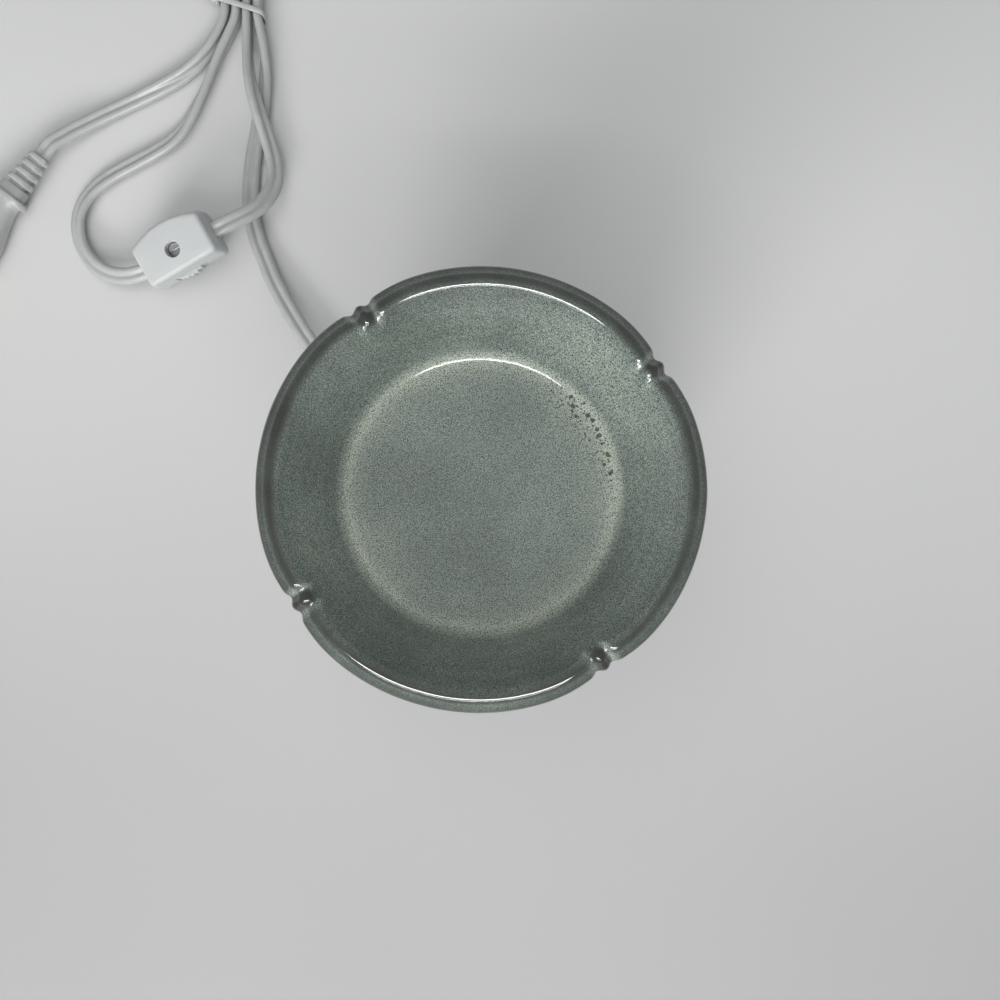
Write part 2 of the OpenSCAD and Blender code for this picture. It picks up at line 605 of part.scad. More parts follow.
module lead_from_switch() { swept(route_from_switch, tube_shape, first = switch_out, last = north); }
route_whole_coil = concat(
  route_into_coil,
  [for (i = [1:coil_n]) route_coil[i]],
  [for (i = [1:8]) route_out_of_coil[i]]
);
module lead_coil() { swept(route_whole_coil, coil_shape, first = north, last = -north); }
module lead_to_plug() { swept(route_to_plug, tube_shape, first = -north); }

// Least gap between turns of the coil, measured between the flat strands' cores
function strand_gap(a, b) =
  let (rise = max(0, abs(a[2] - b[2]) - core_pitch), side = norm([a[0] - b[0], a[1] - b[1]]))
  sqrt(side * side + rise * rise) - lead_t;
coil_gap = min([for (i = [0:coil_n - 13]) for (j = [i + 13:coil_n]) strand_gap(route_coil[i], route_coil[j])]);
function route_len(r, i = 1) = i >= len(r) ? 0 : norm(centre_of(r[i]) - centre_of(r[i - 1])) + route_len(r, i + 1);
echo(coil_gap = coil_gap);
echo(
  lead_to_switch_len = route_len(route_from_body) + route_len(route_loop) + route_len(route_to_switch),
  lead_to_plug_len = route_len(route_from_switch) + route_len(route_whole_coil) + route_len(route_to_plug)
);

// Ties
module rounded(w, h, r) {
  for (x = [-1, 1]) for (y = [-1, 1])
    translate([x * (w / 2 - r), y * (h / 2 - r)]) circle(r = r, $fn = 32);
  square([w - 2 * r, h], center = true);
  square([w, h - 2 * r], center = true);
}
module band(w, h, open) {
  rotate([90, 0, 0])
    linear_extrude(tie_w, center = true)
      difference() {
        rounded(w + 2 * (open + tie_t), h + 2 * (open + tie_t), lead_t / 2 + open + tie_t);
        rounded(w + 2 * open, h + 2 * open, lead_t / 2 + open);
      }
}
tie_open = lead_lift - tie_t;
bundle_w = strand_x[3] - strand_x[0] + lead_t;
tie_y = bundle_y + tie_w / 2 + 0.4;
module twisted_ends(l) {
  for (s = [-1, 1])
    translate([s * 0.9, 0, 0]) rotate([0, s * 6, 0]) cylinder(d = 1.7, h = l, $fn = 16);
}
module bundle_tie() {
  color("#f4f4f2") {
    translate([(strand_x[0] + strand_x[3]) / 2, tie_y, lead_lift + lead_w / 2]) band(bundle_w, lead_w, tie_open);
    translate([strand_x[0] + 1, tie_y, lead_lift + lead_w + tie_open + 0.9])
      rotate([-60, 0, 25]) twisted_ends(7);
  }
}
coil_w = coil_r - (coil_r - coil_pitch * coil_span / 720) + lead_t;
coil_h = coil_climb + lead_w;
module coil_tie() {
  mid_r = coil_r - coil_pitch * coil_span / 1440;
  color("#f4f4f2") {
    translate([coil_c[0], coil_c[1] + mid_r, lead_lift + coil_h / 2]) rotate([0, 0, 90]) band(coil_w, coil_h, tie_open);
    translate([coil_c[0], coil_c[1] + mid_r, lead_lift + coil_h + tie_open + tie_t - 0.4])
      rotate([0, -60, 0]) twisted_ends(7);
  }
}

// Switch
module switch_place() {
  translate([switch_c[0], switch_c[1], switch_z])
    rotate([0, 0, switch_yaw]) rotate([0, -switch_pitch, 0]) rotate([switch_lean, 0, 0]) children();
}
module switch_plate(l, w, z) {
  translate([0, 0, z])
    for (x = [-1, 1]) {
      for (y = [-1, 1])
        translate([x * (l / 2 - corner_r), y * (w / 2 - corner_r), 0]) cylinder(r = corner_r, h = 0.4, $fn = 16);
      translate([x * 3.2, w / 2 + switch_bow - corner_r, 0]) cylinder(r = corner_r, h = 0.4, $fn = 16);
    }
}
module switch_half(s) {
  hull() {
    switch_plate(switch_l, switch_w, s > 0 ? 0 : -0.4);
    switch_plate(switch_l - 0.4, switch_w - 0.4, s * 3 - 0.2);
    switch_plate(switch_l - switch_draft, switch_w - switch_draft, s * (switch_mid - 0.8) - 0.2);
    switch_plate(switch_l - switch_draft - 1.2, switch_w - switch_draft - 1.2, s > 0 ? switch_mid - 0.4 : -switch_mid);
  }
}
wheel_pocket_h = wheel_t + 0.6;
boss_d = 5.6;
screw_hole = screw_d + 0.2;
head_d = screw_d + 2.4;
head_z = switch_mid - 3.2;
nut_w = screw_d + 2.5;
nut_z = -switch_mid + 3.4;
module switch_hollow() {
  difference() {
    cylinder(d = wheel_d + 0.8, h = wheel_pocket_h, center = true);
    cylinder(d = boss_d, h = wheel_pocket_h + 1, center = true);
  }
}
module switch_base() {
  color("#f4f4f2")
    switch_place()
      difference() {
        switch_half(-1);
        switch_hollow();
        translate([0, 0, -switch_mid - 1]) cylinder(d = screw_hole, h = switch_mid + 2, $fn = 24);
        translate([0, 0, -switch_mid - 1]) cylinder(d = (nut_w + 0.3) / cos(30), h = nut_z + switch_mid + 1, $fn = 6);
        for (s = [-1, 1])
          translate([s * 9.5, 0, -wheel_pocket_h / 2 - 0.9]) cube([8.4, 4.6, 1.9], center = true);
      }
}
module switch_cover() {
  color("#f7f7f5")
    switch_place()
      difference() {
        switch_half(1);
        switch_hollow();
        translate([0, 0, -1]) cylinder(d = screw_hole, h = switch_mid + 2, $fn = 24);
        translate([0, 0, head_z - 1.8]) cylinder(d = head_d + 0.8, h = switch_mid, $fn = 32);
      }
}
module thumb_wheel() {
  color("#e9e9e6")
    switch_place()
      difference() {
        cylinder(d = wheel_d, h = wheel_t, center = true);
        cylinder(d = boss_d + 2 * wheel_clearance, h = wheel_t + 1, center = true);
        for (i = [0:wheel_grooves - 1])
          rotate([0, 0, 360 * i / wheel_grooves])
            translate([wheel_d / 2 + 0.25, 0, 0]) cylinder(d = 1.3, h = wheel_t + 1, center = true, $fn = 16);
      }
}
module switch_screw() {
  color("#8d8d92")
    switch_place()
      difference() {
        union() {
          translate([0, 0, head_z - 1.8]) cylinder(d = head_d, h = 1.8, $fn = 32);
          translate([0, 0, nut_z - 2.4]) cylinder(d = screw_d, h = head_z - 1.8 - nut_z + 2.4, $fn = 24);
        }
        translate([0, 0, head_z - 0.4]) cube([head_d + 1, 0.9, 1], center = true);
      }
}
module switch_nut() {
  color("#a7a7ab")
    switch_place()
      difference() {
        translate([0, 0, nut_z - 2.3]) cylinder(d = nut_w / cos(30), h = 2.3, $fn = 6);
        translate([0, 0, nut_z - 3]) cylinder(d = screw_d + 0.06, h = 4, $fn = 24);
      }
}
module switch_contacts() {
  color("#b08d3c")
    switch_place()
      for (s = [-1, 1]) {
        translate([s * 9.5, 0, -wheel_pocket_h / 2 - 1.3]) cube([8, 4, 1], center = true);
        translate([s * 12.8, 0, -wheel_pocket_h / 2 - 0.8]) cube([1, 4, 1.4], center = true);
      }
}

// Plug, along +X from the start of its relief
flange_l = 3;
grip_x = plug_relief_l + flange_l;
face_x = grip_x + plug_l;
flange_plan = 16.4;
module plug_place() {
  translate([plug_at[0], plug_at[1], plug_z]) rotate([0, 0, plug_dir]) children();
}
module plug_slice(x, w, h, r) {
  translate([x, 0, 0])
    rotate([0, 90, 0])
      for (y = [-1, 1]) for (z = [-1, 1])
        translate([z * (h / 2 - r), y * (w / 2 - r), 0]) cylinder(r = r, h = 0.5, $fn = 16);
}
module plug_body() {
  rib = plug_relief_l / 5;
  color("#f2f2f0")
    plug_place()
      difference() {
        union() {
          difference() {
            hull() {
              plug_slice(0, lead_w + 1.4, lead_t + 3, 2);
              plug_slice(plug_relief_l - 0.4, 11.6, 8.6, 3);
            }
            for (i = [1:4])
              for (s = [-1, 1]) {
                translate([rib * i - 0.8, s * 8.6, 0]) cube([1.6, 10, 20], center = true);
                translate([rib * i - 0.8, 0, s * 8.3]) cube([1.6, 9, 12], center = true);
              }
          }
          hull() {
            plug_slice(plug_relief_l, flange_plan - 1.6, plug_h - 2, 4);
            plug_slice(plug_relief_l + 1, flange_plan, plug_h - 1, 4.5);
            plug_slice(grip_x - 0.5, flange_plan, plug_h - 1, 4.5);
          }
          hull() {
            plug_slice(grip_x - 0.5, 12.5, plug_h - 3, 4);
            plug_slice(grip_x + plug_l * 0.4, 15, plug_h - 2.4, 4);
          }
          hull() {
            plug_slice(grip_x + plug_l * 0.4, 15, plug_h - 2.4, 4);
            plug_slice(face_x - 5, plug_w, plug_h, 4);
            plug_slice(face_x - 1.5, plug_w, plug_h, 4);
            plug_slice(face_x - 0.5, plug_w - 2, plug_h - 2, 3.5);
          }
        }
        for (s = [-1, 1])
          translate([face_x - 9, s * blade_pitch / 2, 0]) cube([20, blade_t + 0.02, 9.01], center = true);
      }
}
module blade(y, w) {
  plug_place()
    difference() {
      union() {
        translate([face_x - 9, y - blade_t / 2, -w / 2]) cube([9 + blade_l - 2, blade_t, w]);
        translate([face_x + blade_l - 2, y - blade_t / 2, -w / 2 + 1]) cube([2, blade_t, w - 2]);
      }
      translate([face_x + blade_l - 4.5, y, 0]) rotate([90, 0, 0]) cylinder(d = 3, h = 4, center = true, $fn = 24);
    }
}
module blade_wide() { color("#c9a95a") blade(blade_pitch / 2, 7.9); }
module blade_narrow() { color("#c9a95a") blade(-blade_pitch / 2, 6.3); }

dish();
body_shell();
foot_pads();
socket_body();
screw_shell();
centre_contact();
socket_wires();
threaded_nipple();
lock_nut();
clamp_washer();
cushion_washer();
strain_relief();
inner_lead();
bulb_glass();
bulb_cap();
bulb_insulator();
bulb_tip();
bulb_stem();
bulb_filament();
lead_from_body();
lead_loop();
lead_to_switch();
lead_from_switch();
lead_coil();
lead_to_plug();
bundle_tie();
coil_tie();
switch_base();
switch_cover();
thumb_wheel();
switch_screw();
switch_nut();
switch_contacts();
plug_body();
blade_wide();
blade_narrow();
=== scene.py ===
"""Wax melt warmer: a glazed dish on its stoneware shell, with its lead, switch and plug."""

import logging
import math
from dataclasses import dataclass, field
from enum import Enum

import bmesh
import bpy
from mathutils import Matrix, Vector


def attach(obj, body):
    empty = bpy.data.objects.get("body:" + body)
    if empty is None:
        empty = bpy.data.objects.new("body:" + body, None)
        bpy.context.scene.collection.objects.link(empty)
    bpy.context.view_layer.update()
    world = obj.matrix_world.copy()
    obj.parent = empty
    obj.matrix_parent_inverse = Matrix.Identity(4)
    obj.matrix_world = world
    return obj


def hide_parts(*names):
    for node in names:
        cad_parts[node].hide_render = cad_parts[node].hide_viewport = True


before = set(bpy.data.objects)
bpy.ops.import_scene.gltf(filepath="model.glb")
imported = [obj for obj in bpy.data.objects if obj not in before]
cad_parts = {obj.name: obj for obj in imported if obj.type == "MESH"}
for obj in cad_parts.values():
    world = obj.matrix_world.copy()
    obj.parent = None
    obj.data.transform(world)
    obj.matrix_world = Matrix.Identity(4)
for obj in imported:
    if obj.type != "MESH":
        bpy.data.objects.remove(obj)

MM = 0.001
log = logging.getLogger("warmer")

Colour = tuple[float, float, float]
Point = tuple[float, float, float]


class Body(Enum):
    """The rigid bodies that pieces ride on."""

    BASE = "base"
    DISH = "dish"
    BULB = "bulb"
    WHEEL = "wheel"


class Material:
    """A node material with a few helpers that add and link its nodes."""

    def __init__(self, name: str) -> None:
        """Start an empty node tree with a shader.

        Args:
            name: Name of the material.
        """
        self.data = bpy.data.materials.new(name)
        self.data.use_nodes = True
        self.nodes = self.data.node_tree.nodes
        self.links = self.data.node_tree.links
        self.nodes.clear()
        self.out = self.nodes.new("ShaderNodeOutputMaterial")
        self.shader = self.nodes.new("ShaderNodeBsdfPrincipled")
        self.links.new(self.shader.outputs[0], self.out.inputs[0])
        self.place = self.nodes.new("ShaderNodeTexCoord").outputs["Object"]

    def set(self, **values: object) -> None:
        """Set sockets of the shader by name, with underscores for spaces."""
        for key, value in values.items():
            self.shader.inputs[key.replace("_", " ")].default_value = value

    def link(self, source: object, socket: str) -> None:
        """Feed an output into one of the shader's sockets."""
        self.links.new(source, self.shader.inputs[socket])

    def noise(self, scale: float, detail: float = 2.0, rough: float = 0.5) -> object:
        """Add a noise pattern.

        Args:
            scale: Cells per metre.
            detail: Octaves.
            rough: How much the finer octaves count.

        Returns:
            The pattern's value output.
        """
        node = self.nodes.new("ShaderNodeTexNoise")
        node.inputs["Scale"].default_value = scale
        node.inputs["Detail"].default_value = detail
        node.inputs["Roughness"].default_value = rough
        self.links.new(self.place, node.inputs["Vector"])
        return node.outputs[0]

    def cells(self, scale: float) -> object:
        """Add a cell pattern and return the distance to each cell's point."""
        node = self.nodes.new("ShaderNodeTexVoronoi")
        node.inputs["Scale"].default_value = scale
        self.links.new(self.place, node.inputs["Vector"])
        return node.outputs["Distance"]

    def radius(self) -> object:
        """Read the distance in metres from the vertical axis."""
        node = self.nodes.new("ShaderNodeVectorMath")
        node.operation = "MULTIPLY"
        node.inputs[1].default_value = (1.0, 1.0, 0.0)
        self.links.new(self.place, node.inputs[0])
        length = self.nodes.new("ShaderNodeVectorMath")
        length.operation = "LENGTH"
        self.links.new(node.outputs[0], length.inputs[0])
        return length.outputs["Value"]

    def height(self) -> object:
        """Read the height in metres above the table."""
        node = self.nodes.new("ShaderNodeSeparateXYZ")
        self.links.new(self.place, node.inputs[0])
        return node.outputs["Z"]

    def attribute(self, name: str) -> object:
        """Read a value that the piece's own mesh carries."""
        node = self.nodes.new("ShaderNodeAttribute")
        node.attribute_name = name
        return node.outputs["Fac"]

    def math(self, kind: str, a: object, b: object = 0.0, clamp: bool = False) -> object:
        """Add a math node.

        Args:
            kind: The operation.
            a: Output or number.
            b: Output or number.
            clamp: Whether the result stays between 0 and 1.

        Returns:
            The result's output.
        """
        node = self.nodes.new("ShaderNodeMath")
        node.operation = kind
        node.use_clamp = clamp
        for socket, value in zip(node.inputs, (a, b)):
            if isinstance(value, (int, float)):
                socket.default_value = value
            else:
                self.links.new(value, socket)
        return node.outputs[0]

    def remap(self, value: object, low: float, high: float, out_low: float = 0.0, out_high: float = 1.0) -> object:
        """Map a value's range onto another with soft ends.

        Args:
            value: The output to map.
            low: Value that becomes out_low.
            high: Value that becomes out_high.
            out_low: Result at low.
            out_high: Result at high.

        Returns:
            The mapped output.
        """
        node = self.nodes.new("ShaderNodeMapRange")
        node.interpolation_type = "SMOOTHSTEP"
        for socket, number in zip(node.inputs[1:5], (low, high, out_low, out_high)):
            socket.default_value = number
        self.links.new(value, node.inputs[0])
        return node.outputs[0]

    def mix(self, share: object, a: object, b: object, kind: str = "MIX") -> object:
        """Mix two colours.

        Args:
            share: Output or number from 0 to 1.
            a: Colour or output.
            b: Colour or output.
            kind: Blend type.

        Returns:
            The mixed colour's output.
        """
        node = self.nodes.new("ShaderNodeMix")
        node.data_type = "RGBA"
        node.blend_type = kind
        for index, value in ((0, share), (6, a), (7, b)):
            socket = node.inputs[index]
            if isinstance(value, (int, float)):
                socket.default_value = value
            elif isinstance(value, tuple):
                socket.default_value = (*value, 1.0)
            else:
                self.links.new(value, socket)
        return node.outputs[2]

    def ramp(self, value: object, stops: list[tuple[float, Colour]]) -> object:
        """Colour a value by stops.

        Args:
            value: The output to colour.
            stops: Position and colour of each stop.

        Returns:
            The colour's output.
        """
        node = self.nodes.new("ShaderNodeValToRGB")
        ramp = node.color_ramp
        while len(ramp.elements) < len(stops):
            ramp.elements.new(0.5)
        for element, (position, colour) in zip(ramp.elements, stops):
            element.position = position
            element.color = (*colour, 1.0)
        self.links.new(value, node.inputs[0])
        return node.outputs[0]

    def bump(self, height: object, depth: float, strength: float = 1.0) -> None:
        """Raise the surface by a pattern.

        Args:
            height: The pattern.
            depth: Height of the pattern in metres.
            strength: Share of the effect.
        """
        node = self.nodes.new("ShaderNodeBump")
        node.inputs["Distance"].default_value = depth
        node.inputs["Strength"].default_value = strength
        self.links.new(height, node.inputs["Height"])
        self.links.new(node.outputs[0], self.shader.inputs["Normal"])


@dataclass(frozen=True)
class Finish:
    """A plain moulded or machined finish with fine variation in colour, gloss and surface."""

    slot: str
    colour: Colour
    rough: float
    metal: float = 0.0
    coat: float = 0.0
    vary: float = 0.06
    scale: float = 260.0
    bump_depth: float = 0.00002
    bump_scale: float = 1500.0
    subsurface: float = 0.0

    def make(self) -> bpy.types.Material:
        """Build the finish's material."""
        m = Material(self.slot)
        m.set(Metallic=self.metal, Coat_Weight=self.coat, Coat_Roughness=0.08)
        if self.subsurface:
            m.set(Subsurface_Weight=self.subsurface, Subsurface_Radius=(0.004, 0.0036, 0.003), Subsurface_Scale=0.4)
        patches = m.remap(m.noise(self.scale, 4.0), 0.3, 0.7)
        dark = tuple(c * (1.0 - self.vary) for c in self.colour)
        pale = tuple(min(1.0, c * (1.0 + self.vary)) for c in self.colour)
        m.link(m.mix(patches, dark, pale), "Base Color")
        smears = m.noise(self.scale * 2.3, 3.0)
        m.link(m.remap(smears, 0.3, 0.7, max(0.03, self.rough - 0.06), min(1.0, self.rough + 0.06)), "Roughness")
        m.bump(m.noise(self.bump_scale, 3.0), self.bump_depth)
        return m.data


@dataclass(frozen=True)
class Glass:
    """Clear blown glass."""

    slot: str
    tint: Colour
    rough: float = 0.02

    def make(self) -> bpy.types.Material:
        """Build the glass."""
        m = Material(self.slot)
        m.set(Transmission_Weight=1.0, IOR=1.46)
        seeds = m.remap(m.noise(900.0), 0.35, 0.65)
        m.link(m.mix(seeds, self.tint, tuple(min(1.0, c * 1.02) for c in self.tint)), "Base Color")
        m.link(m.remap(m.noise(350.0), 0.3, 0.7, self.rough, self.rough + 0.02), "Roughness")
        return m.data


@dataclass(frozen=True)
class Glaze:
    """Glossy stoneware glaze, speckled dark on grey-green, that thins on edges and pools in hollows."""

    slot: str = "glaze"
    body: Colour = (0.168, 0.204, 0.183)
    pooled: Colour = (0.385, 0.425, 0.350)
    thin: Colour = (0.080, 0.094, 0.081)
    bare: Colour = (0.022, 0.022, 0.018)
    speck: Colour = (0.028, 0.036, 0.033)
    rough: float = 0.09

    def make(self, with_tone: bool) -> bpy.types.Material:
        """Build the glaze.

        Args:
            with_tone: Whether the piece's mesh carries the attributes glaze_depth_and_painted_light, from 0, bare, to
                1, pooled, which on the dish's
            wall also holds painted light and shade, and glaze_fleck, from 0, fine specks, to 1, coarse spots.

        Returns:
            The material.
        """
        m = Material(self.slot + ("_dish" if with_tone else "_shell"))
        tone = m.attribute("glaze_depth_and_painted_light") if with_tone else m.remap(m.noise(26.0, 3.0), 0.2, 0.8, 0.36, 0.60)
        fleck = m.attribute("glaze_fleck") if with_tone else m.remap(m.noise(34.0, 2.0), 0.3, 0.7, 0.1, 0.5)
        if not with_tone:
            tone = m.math("MULTIPLY", tone, m.remap(m.height(), 0.0040, 0.0062, 0.0, 1.0))
            tone = m.math("MULTIPLY", tone, m.remap(m.height(), 0.0845, 0.0872, 1.0, 0.45))
        clouds = m.remap(m.noise(30.0, 4.0, 0.6), 0.3, 0.7, -0.08, 0.08)
        along = m.radius() if with_tone else m.height()
        thrown = m.math("SINE", m.math("ADD", m.math("MULTIPLY", along, 2200.0), m.math("MULTIPLY", m.noise(45.0, 2.0), 7.0)))
        clouds = m.math("ADD", clouds, m.math("MULTIPLY", thrown, 0.014))
        tone = m.math("ADD", tone, clouds, clamp=True)
        base = m.ramp(tone, [(0.0, self.bare), (0.22, self.thin), (0.5, self.body), (1.0, self.pooled)])
        grain = m.remap(m.noise(3000.0, 1.0, 0.5), 0.36, 0.56, 0.50, 0.0)
        grits = m.remap(m.cells(1900.0), 0.24, 0.48, 0.85, 0.0)
        dark = m.mix(grits, m.mix(grain, base, self.speck), self.speck)
        pale_grain = m.remap(m.noise(3000.0, 1.0, 0.5), 0.50, 0.68, 0.0, 0.55)
        pale = m.mix(m.remap(tone, 0.08, 0.6, 0.04, 0.6), base, (0.50, 0.54, 0.45))
        lively = m.mix(pale_grain, dark, pale)
        size = m.remap(fleck, 0.0, 1.0, 0.10, 0.30)
        dots = m.math("LESS_THAN", m.cells(900.0), size)
        spotted = m.mix(m.math("MULTIPLY", dots, 0.86), lively, self.speck)
        spot_size = m.remap(fleck, 0.55, 1.0, 0.0, 0.34)
        spots = m.math("LESS_THAN", m.cells(430.0), spot_size)
        m.link(m.mix(m.math("MULTIPLY", spots, 0.85), spotted, self.speck), "Base Color")
        m.link(m.remap(m.noise(300.0, 3.0), 0.3, 0.7, self.rough - 0.03, self.rough + 0.04), "Roughness")
        m.set(Coat_Weight=0.6, Coat_Roughness=0.035, IOR=1.5)
        swell = m.math("ADD", m.noise(70.0, 2.0), m.math("MULTIPLY", m.noise(900.0, 2.0), 0.03))
        swell = m.math("ADD", swell, m.math("MULTIPLY", thrown, 0.02))
        m.bump(swell, 0.0003, 0.45)
        return m.data


class Workshop:
    """Makes meshes into pieces: it finishes them and sets them on their bodies."""

    def __init__(self) -> None:
        """Start with no materials made."""
        self.made: dict[str, bpy.types.Material] = {}

    def material(self, finish: Finish | Glass) -> bpy.types.Material:
        """Return the finish's material, made on its first use."""
        if finish.slot not in self.made:
            self.made[finish.slot] = finish.make()
        return self.made[finish.slot]

    def piece(
        self,
        name: str,
        bm: bmesh.types.BMesh,
        finish: Finish | Glass | None,
        body: Body,
        replaced: tuple[str, ...] = (),
        material: bpy.types.Material | None = None,
        slot: str = "",
        outwards: bool = True,
    ) -> bpy.types.Object:
        """Turn a bmesh in millimetres into a finished piece.

        Args:
            name: Name of the piece.
            bm: Its mesh, freed here.
            finish: Its finish, unless a material is given.
            body: The body it rides on.
            replaced: CAD nodes it stands for.
            material: A material made elsewhere.
            slot: Material slot of the record, where no finish gives it; not used.
            outwards: Whether the normals are worked out again.

        Returns:
            The piece.
        """
        if outwards:
            bmesh.ops.recalc_face_normals(bm, faces=bm.faces)
        bmesh.ops.scale(bm, vec=(MM, MM, MM), verts=bm.verts)
        for face in bm.faces:
            face.smooth = True
        mesh = bpy.data.meshes.new(name)
        bm.to_mesh(mesh)
        bm.free()
        obj = bpy.data.objects.new(name, mesh)
        bpy.context.scene.collection.objects.link(obj)
        mesh.materials.append(material or self.material(finish))
        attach(obj, body.value)
        if replaced:
            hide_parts(*replaced)
        log.info("made %s, %d faces", name, len(mesh.polygons))
        return obj

    def dress_node(self, node: str, material: bpy.types.Material) -> None:
        """Give a CAD node's object a material.

        Args:
            node: Name of the node.
            material: Its material.
        """
        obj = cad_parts[node]
        if not obj.material_slots:
            obj.data.materials.append(None)
        for slot in obj.material_slots:
            slot.link = "OBJECT"
            slot.material = material


def hard_edges(obj: bpy.types.Object, degrees: float = 35.0) -> None:
    """Keep edges sharper than an angle crisp under smooth shading.

    Args:
        obj: The piece.
        degrees: The angle between faces.
    """
    obj.data.set_sharp_from_angle(angle=math.radians(degrees))


def loft(rings: list[list[Vector]], closed: bool = False) -> bmesh.types.BMesh:
    """Skin a run of rings that have the same number of points.

    Args:
        rings: Points of each ring, in order.
        closed: Whether the last ring joins the first. Where not, both ends are capped.

    Returns:
        The skin.
    """
    bm = bmesh.new()
    made = [[bm.verts.new(point) for point in ring] for ring in rings]
    pairs = list(zip(made, made[1:])) + ([(made[-1], made[0])] if closed else [])
    for low, high in pairs:
        for a, b, c, d in zip(low, low[1:] + low[:1], high[1:] + high[:1], high):
            bm.faces.new((a, b, c, d))
    if not closed:
        bm.faces.new(made[0])
        bm.faces.new(made[-1])
    bmesh.ops.remove_doubles(bm, verts=bm.verts, dist=0.001)
    bmesh.ops.dissolve_degenerate(bm, edges=bm.edges, dist=0.001)
    return bm


def circle(radius: float, count: int, x: float = 0.0) -> list[Vector]:
    """Points of a circle round the X axis at a place along it."""
    turns = [2 * math.pi * i / count for i in range(count)]
    return [Vector((x, radius * math.cos(a), radius * math.sin(a))) for a in turns]


def round_box(x: float, width: float, height: float, corner: float) -> list[Vector]:
    """Points of a rounded rectangle across the X axis at a place along it."""
    points = []
    for k, (sy, sz) in enumerate(((1, 1), (-1, 1), (-1, -1), (1, -1))):
        for i in range(9):
            a = math.radians(90 * k + 11.25 * i)
            y = sy * (width / 2 - corner) + corner * math.cos(a)
            points.append(Vector((x, y, sz * (height / 2 - corner) + corner * math.sin(a))))
    return points


@dataclass
class Camera:
    """The camera, at the photograph's place and angle."""

    place: Point = (-2.25, -18.56, 417.0)
    right: Point = (0.9997, -0.0007, 0.0260)
    up: Point = (-0.0007, 0.9987, 0.0509)
    back: Point = (-0.0260, -0.0509, 0.9984)
    lens: float = 36.0

    def build(self) -> None:
        """Add the camera and make it the scene's."""
        data = bpy.data.cameras.new("camera")
        data.lens = self.lens
        data.sensor_width = 36.0
        data.sensor_fit = "HORIZONTAL"
        data.clip_start = 0.01
        obj = bpy.data.objects.new("camera", data)
        turn = Matrix((self.right, self.up, self.back)).transposed().to_4x4()
        obj.matrix_world = Matrix.Translation(Vector(self.place) * MM) @ turn
        bpy.context.scene.collection.objects.link(obj)
        bpy.context.scene.camera = obj
        log.info("camera %.0f mm above the table", self.place[2])


@dataclass
class Studio:
    """Pale table, soft lamps and an even pale surround."""

    floor_tone: Colour = (0.56, 0.56, 0.555)
    surround: float = 0.42

    def build(self) -> None:
        """Add the table, the lamps and the surround."""
        self.table()
        self.lamp("strip_low", (-30.0, -640.0, 640.0), (760.0, 100.0), 2.2, False)
        self.lamp("strip_high", (-30.0, -500.0, 790.0), (680.0, 70.0), 1.5, False)
        self.lamp("gleam_low", (-30.0, -640.0, 640.0), (760.0, 130.0), 11.0, True)
        self.lamp("gleam_high", (-30.0, -480.0, 810.0), (680.0, 80.0), 6.0, True)
        self.lamp("window_south_west", (-460.0, -1050.0, 540.0), (560.0, 300.0), 11.5, False)
        self.lamp("ceiling", (-260.0, 160.0, 1250.0), (900.0, 900.0), 4.4, False)
        world = bpy.data.worlds.new("surround")
        world.use_nodes = True
        back = world.node_tree.nodes["Background"]
        back.inputs["Color"].default_value = (0.93, 0.95, 0.97, 1.0)
        back.inputs["Strength"].default_value = self.surround
        bpy.context.scene.world = world
        bpy.context.scene.view_settings.view_transform = "Standard"

    def table(self) -> None:
        """Add the table that the warmer stands on."""
        bm = bmesh.new()
        bmesh.ops.create_grid(bm, x_segments=1, y_segments=1, size=4.0)
        mesh = bpy.data.meshes.new("table")
        bm.to_mesh(mesh)
        bm.free()
        obj = bpy.data.objects.new("table", mesh)
        obj.location.z = -0.0002
        bpy.context.scene.collection.objects.link(obj)
        m = Material("table_top")
        m.set(Roughness=0.75, Specular_IOR_Level=0.2)
        cloud = m.remap(m.noise(3.0, 2.0), 0.3, 0.7, 0.0, 0.08)
        # Painted light: the top is darker towards the front (negative y) and lighter towards the back, standing in for
        # how the lamps fall off; the clouds are the top's own blotches.
        painted_light_slope = m.nodes.new("ShaderNodeVectorMath")
        painted_light_slope.operation = "DOT_PRODUCT"
        painted_light_slope.inputs[1].default_value = (0.1, 1.0, 0.0)
        m.links.new(m.place, painted_light_slope.inputs[0])
        across = m.math("ADD", m.remap(painted_light_slope.outputs["Value"], -0.22, 0.16, 0.0, 0.92), cloud)
        near = tuple(c * 0.60 for c in self.floor_tone)
        far = tuple(c * 1.06 for c in self.floor_tone)
        m.link(m.mix(across, near, far), "Base Color")
        mesh.materials.append(m.data)

    def lamp(self, name: str, place: Point, size: tuple[float, float], power: float, mirrored: bool) -> None:
        """Add a soft lamp that looks at the dish.

        Args:
            name: Name of the lamp.
            place: Its place in millimetres.
            size: Its width and height in millimetres.
            power: Its power in watts.
            mirrored: Whether it only gives the highlights on glossy surfaces, or else only the light.
        """
        data = bpy.data.lights.new(name, "AREA")
        data.shape = "RECTANGLE"
        data.size = size[0] * MM
        data.size_y = size[1] * MM
        data.energy = power
        obj = bpy.data.objects.new(name, data)
        aim = Vector((0.0, 0.0, 80.0)) - Vector(place)
        obj.location = Vector(place) * MM
        obj.rotation_euler = aim.to_track_quat("-Z", "Y").to_euler()
        obj.visible_glossy = mirrored
        obj.visible_diffuse = not mirrored
        bpy.context.scene.collection.objects.link(obj)


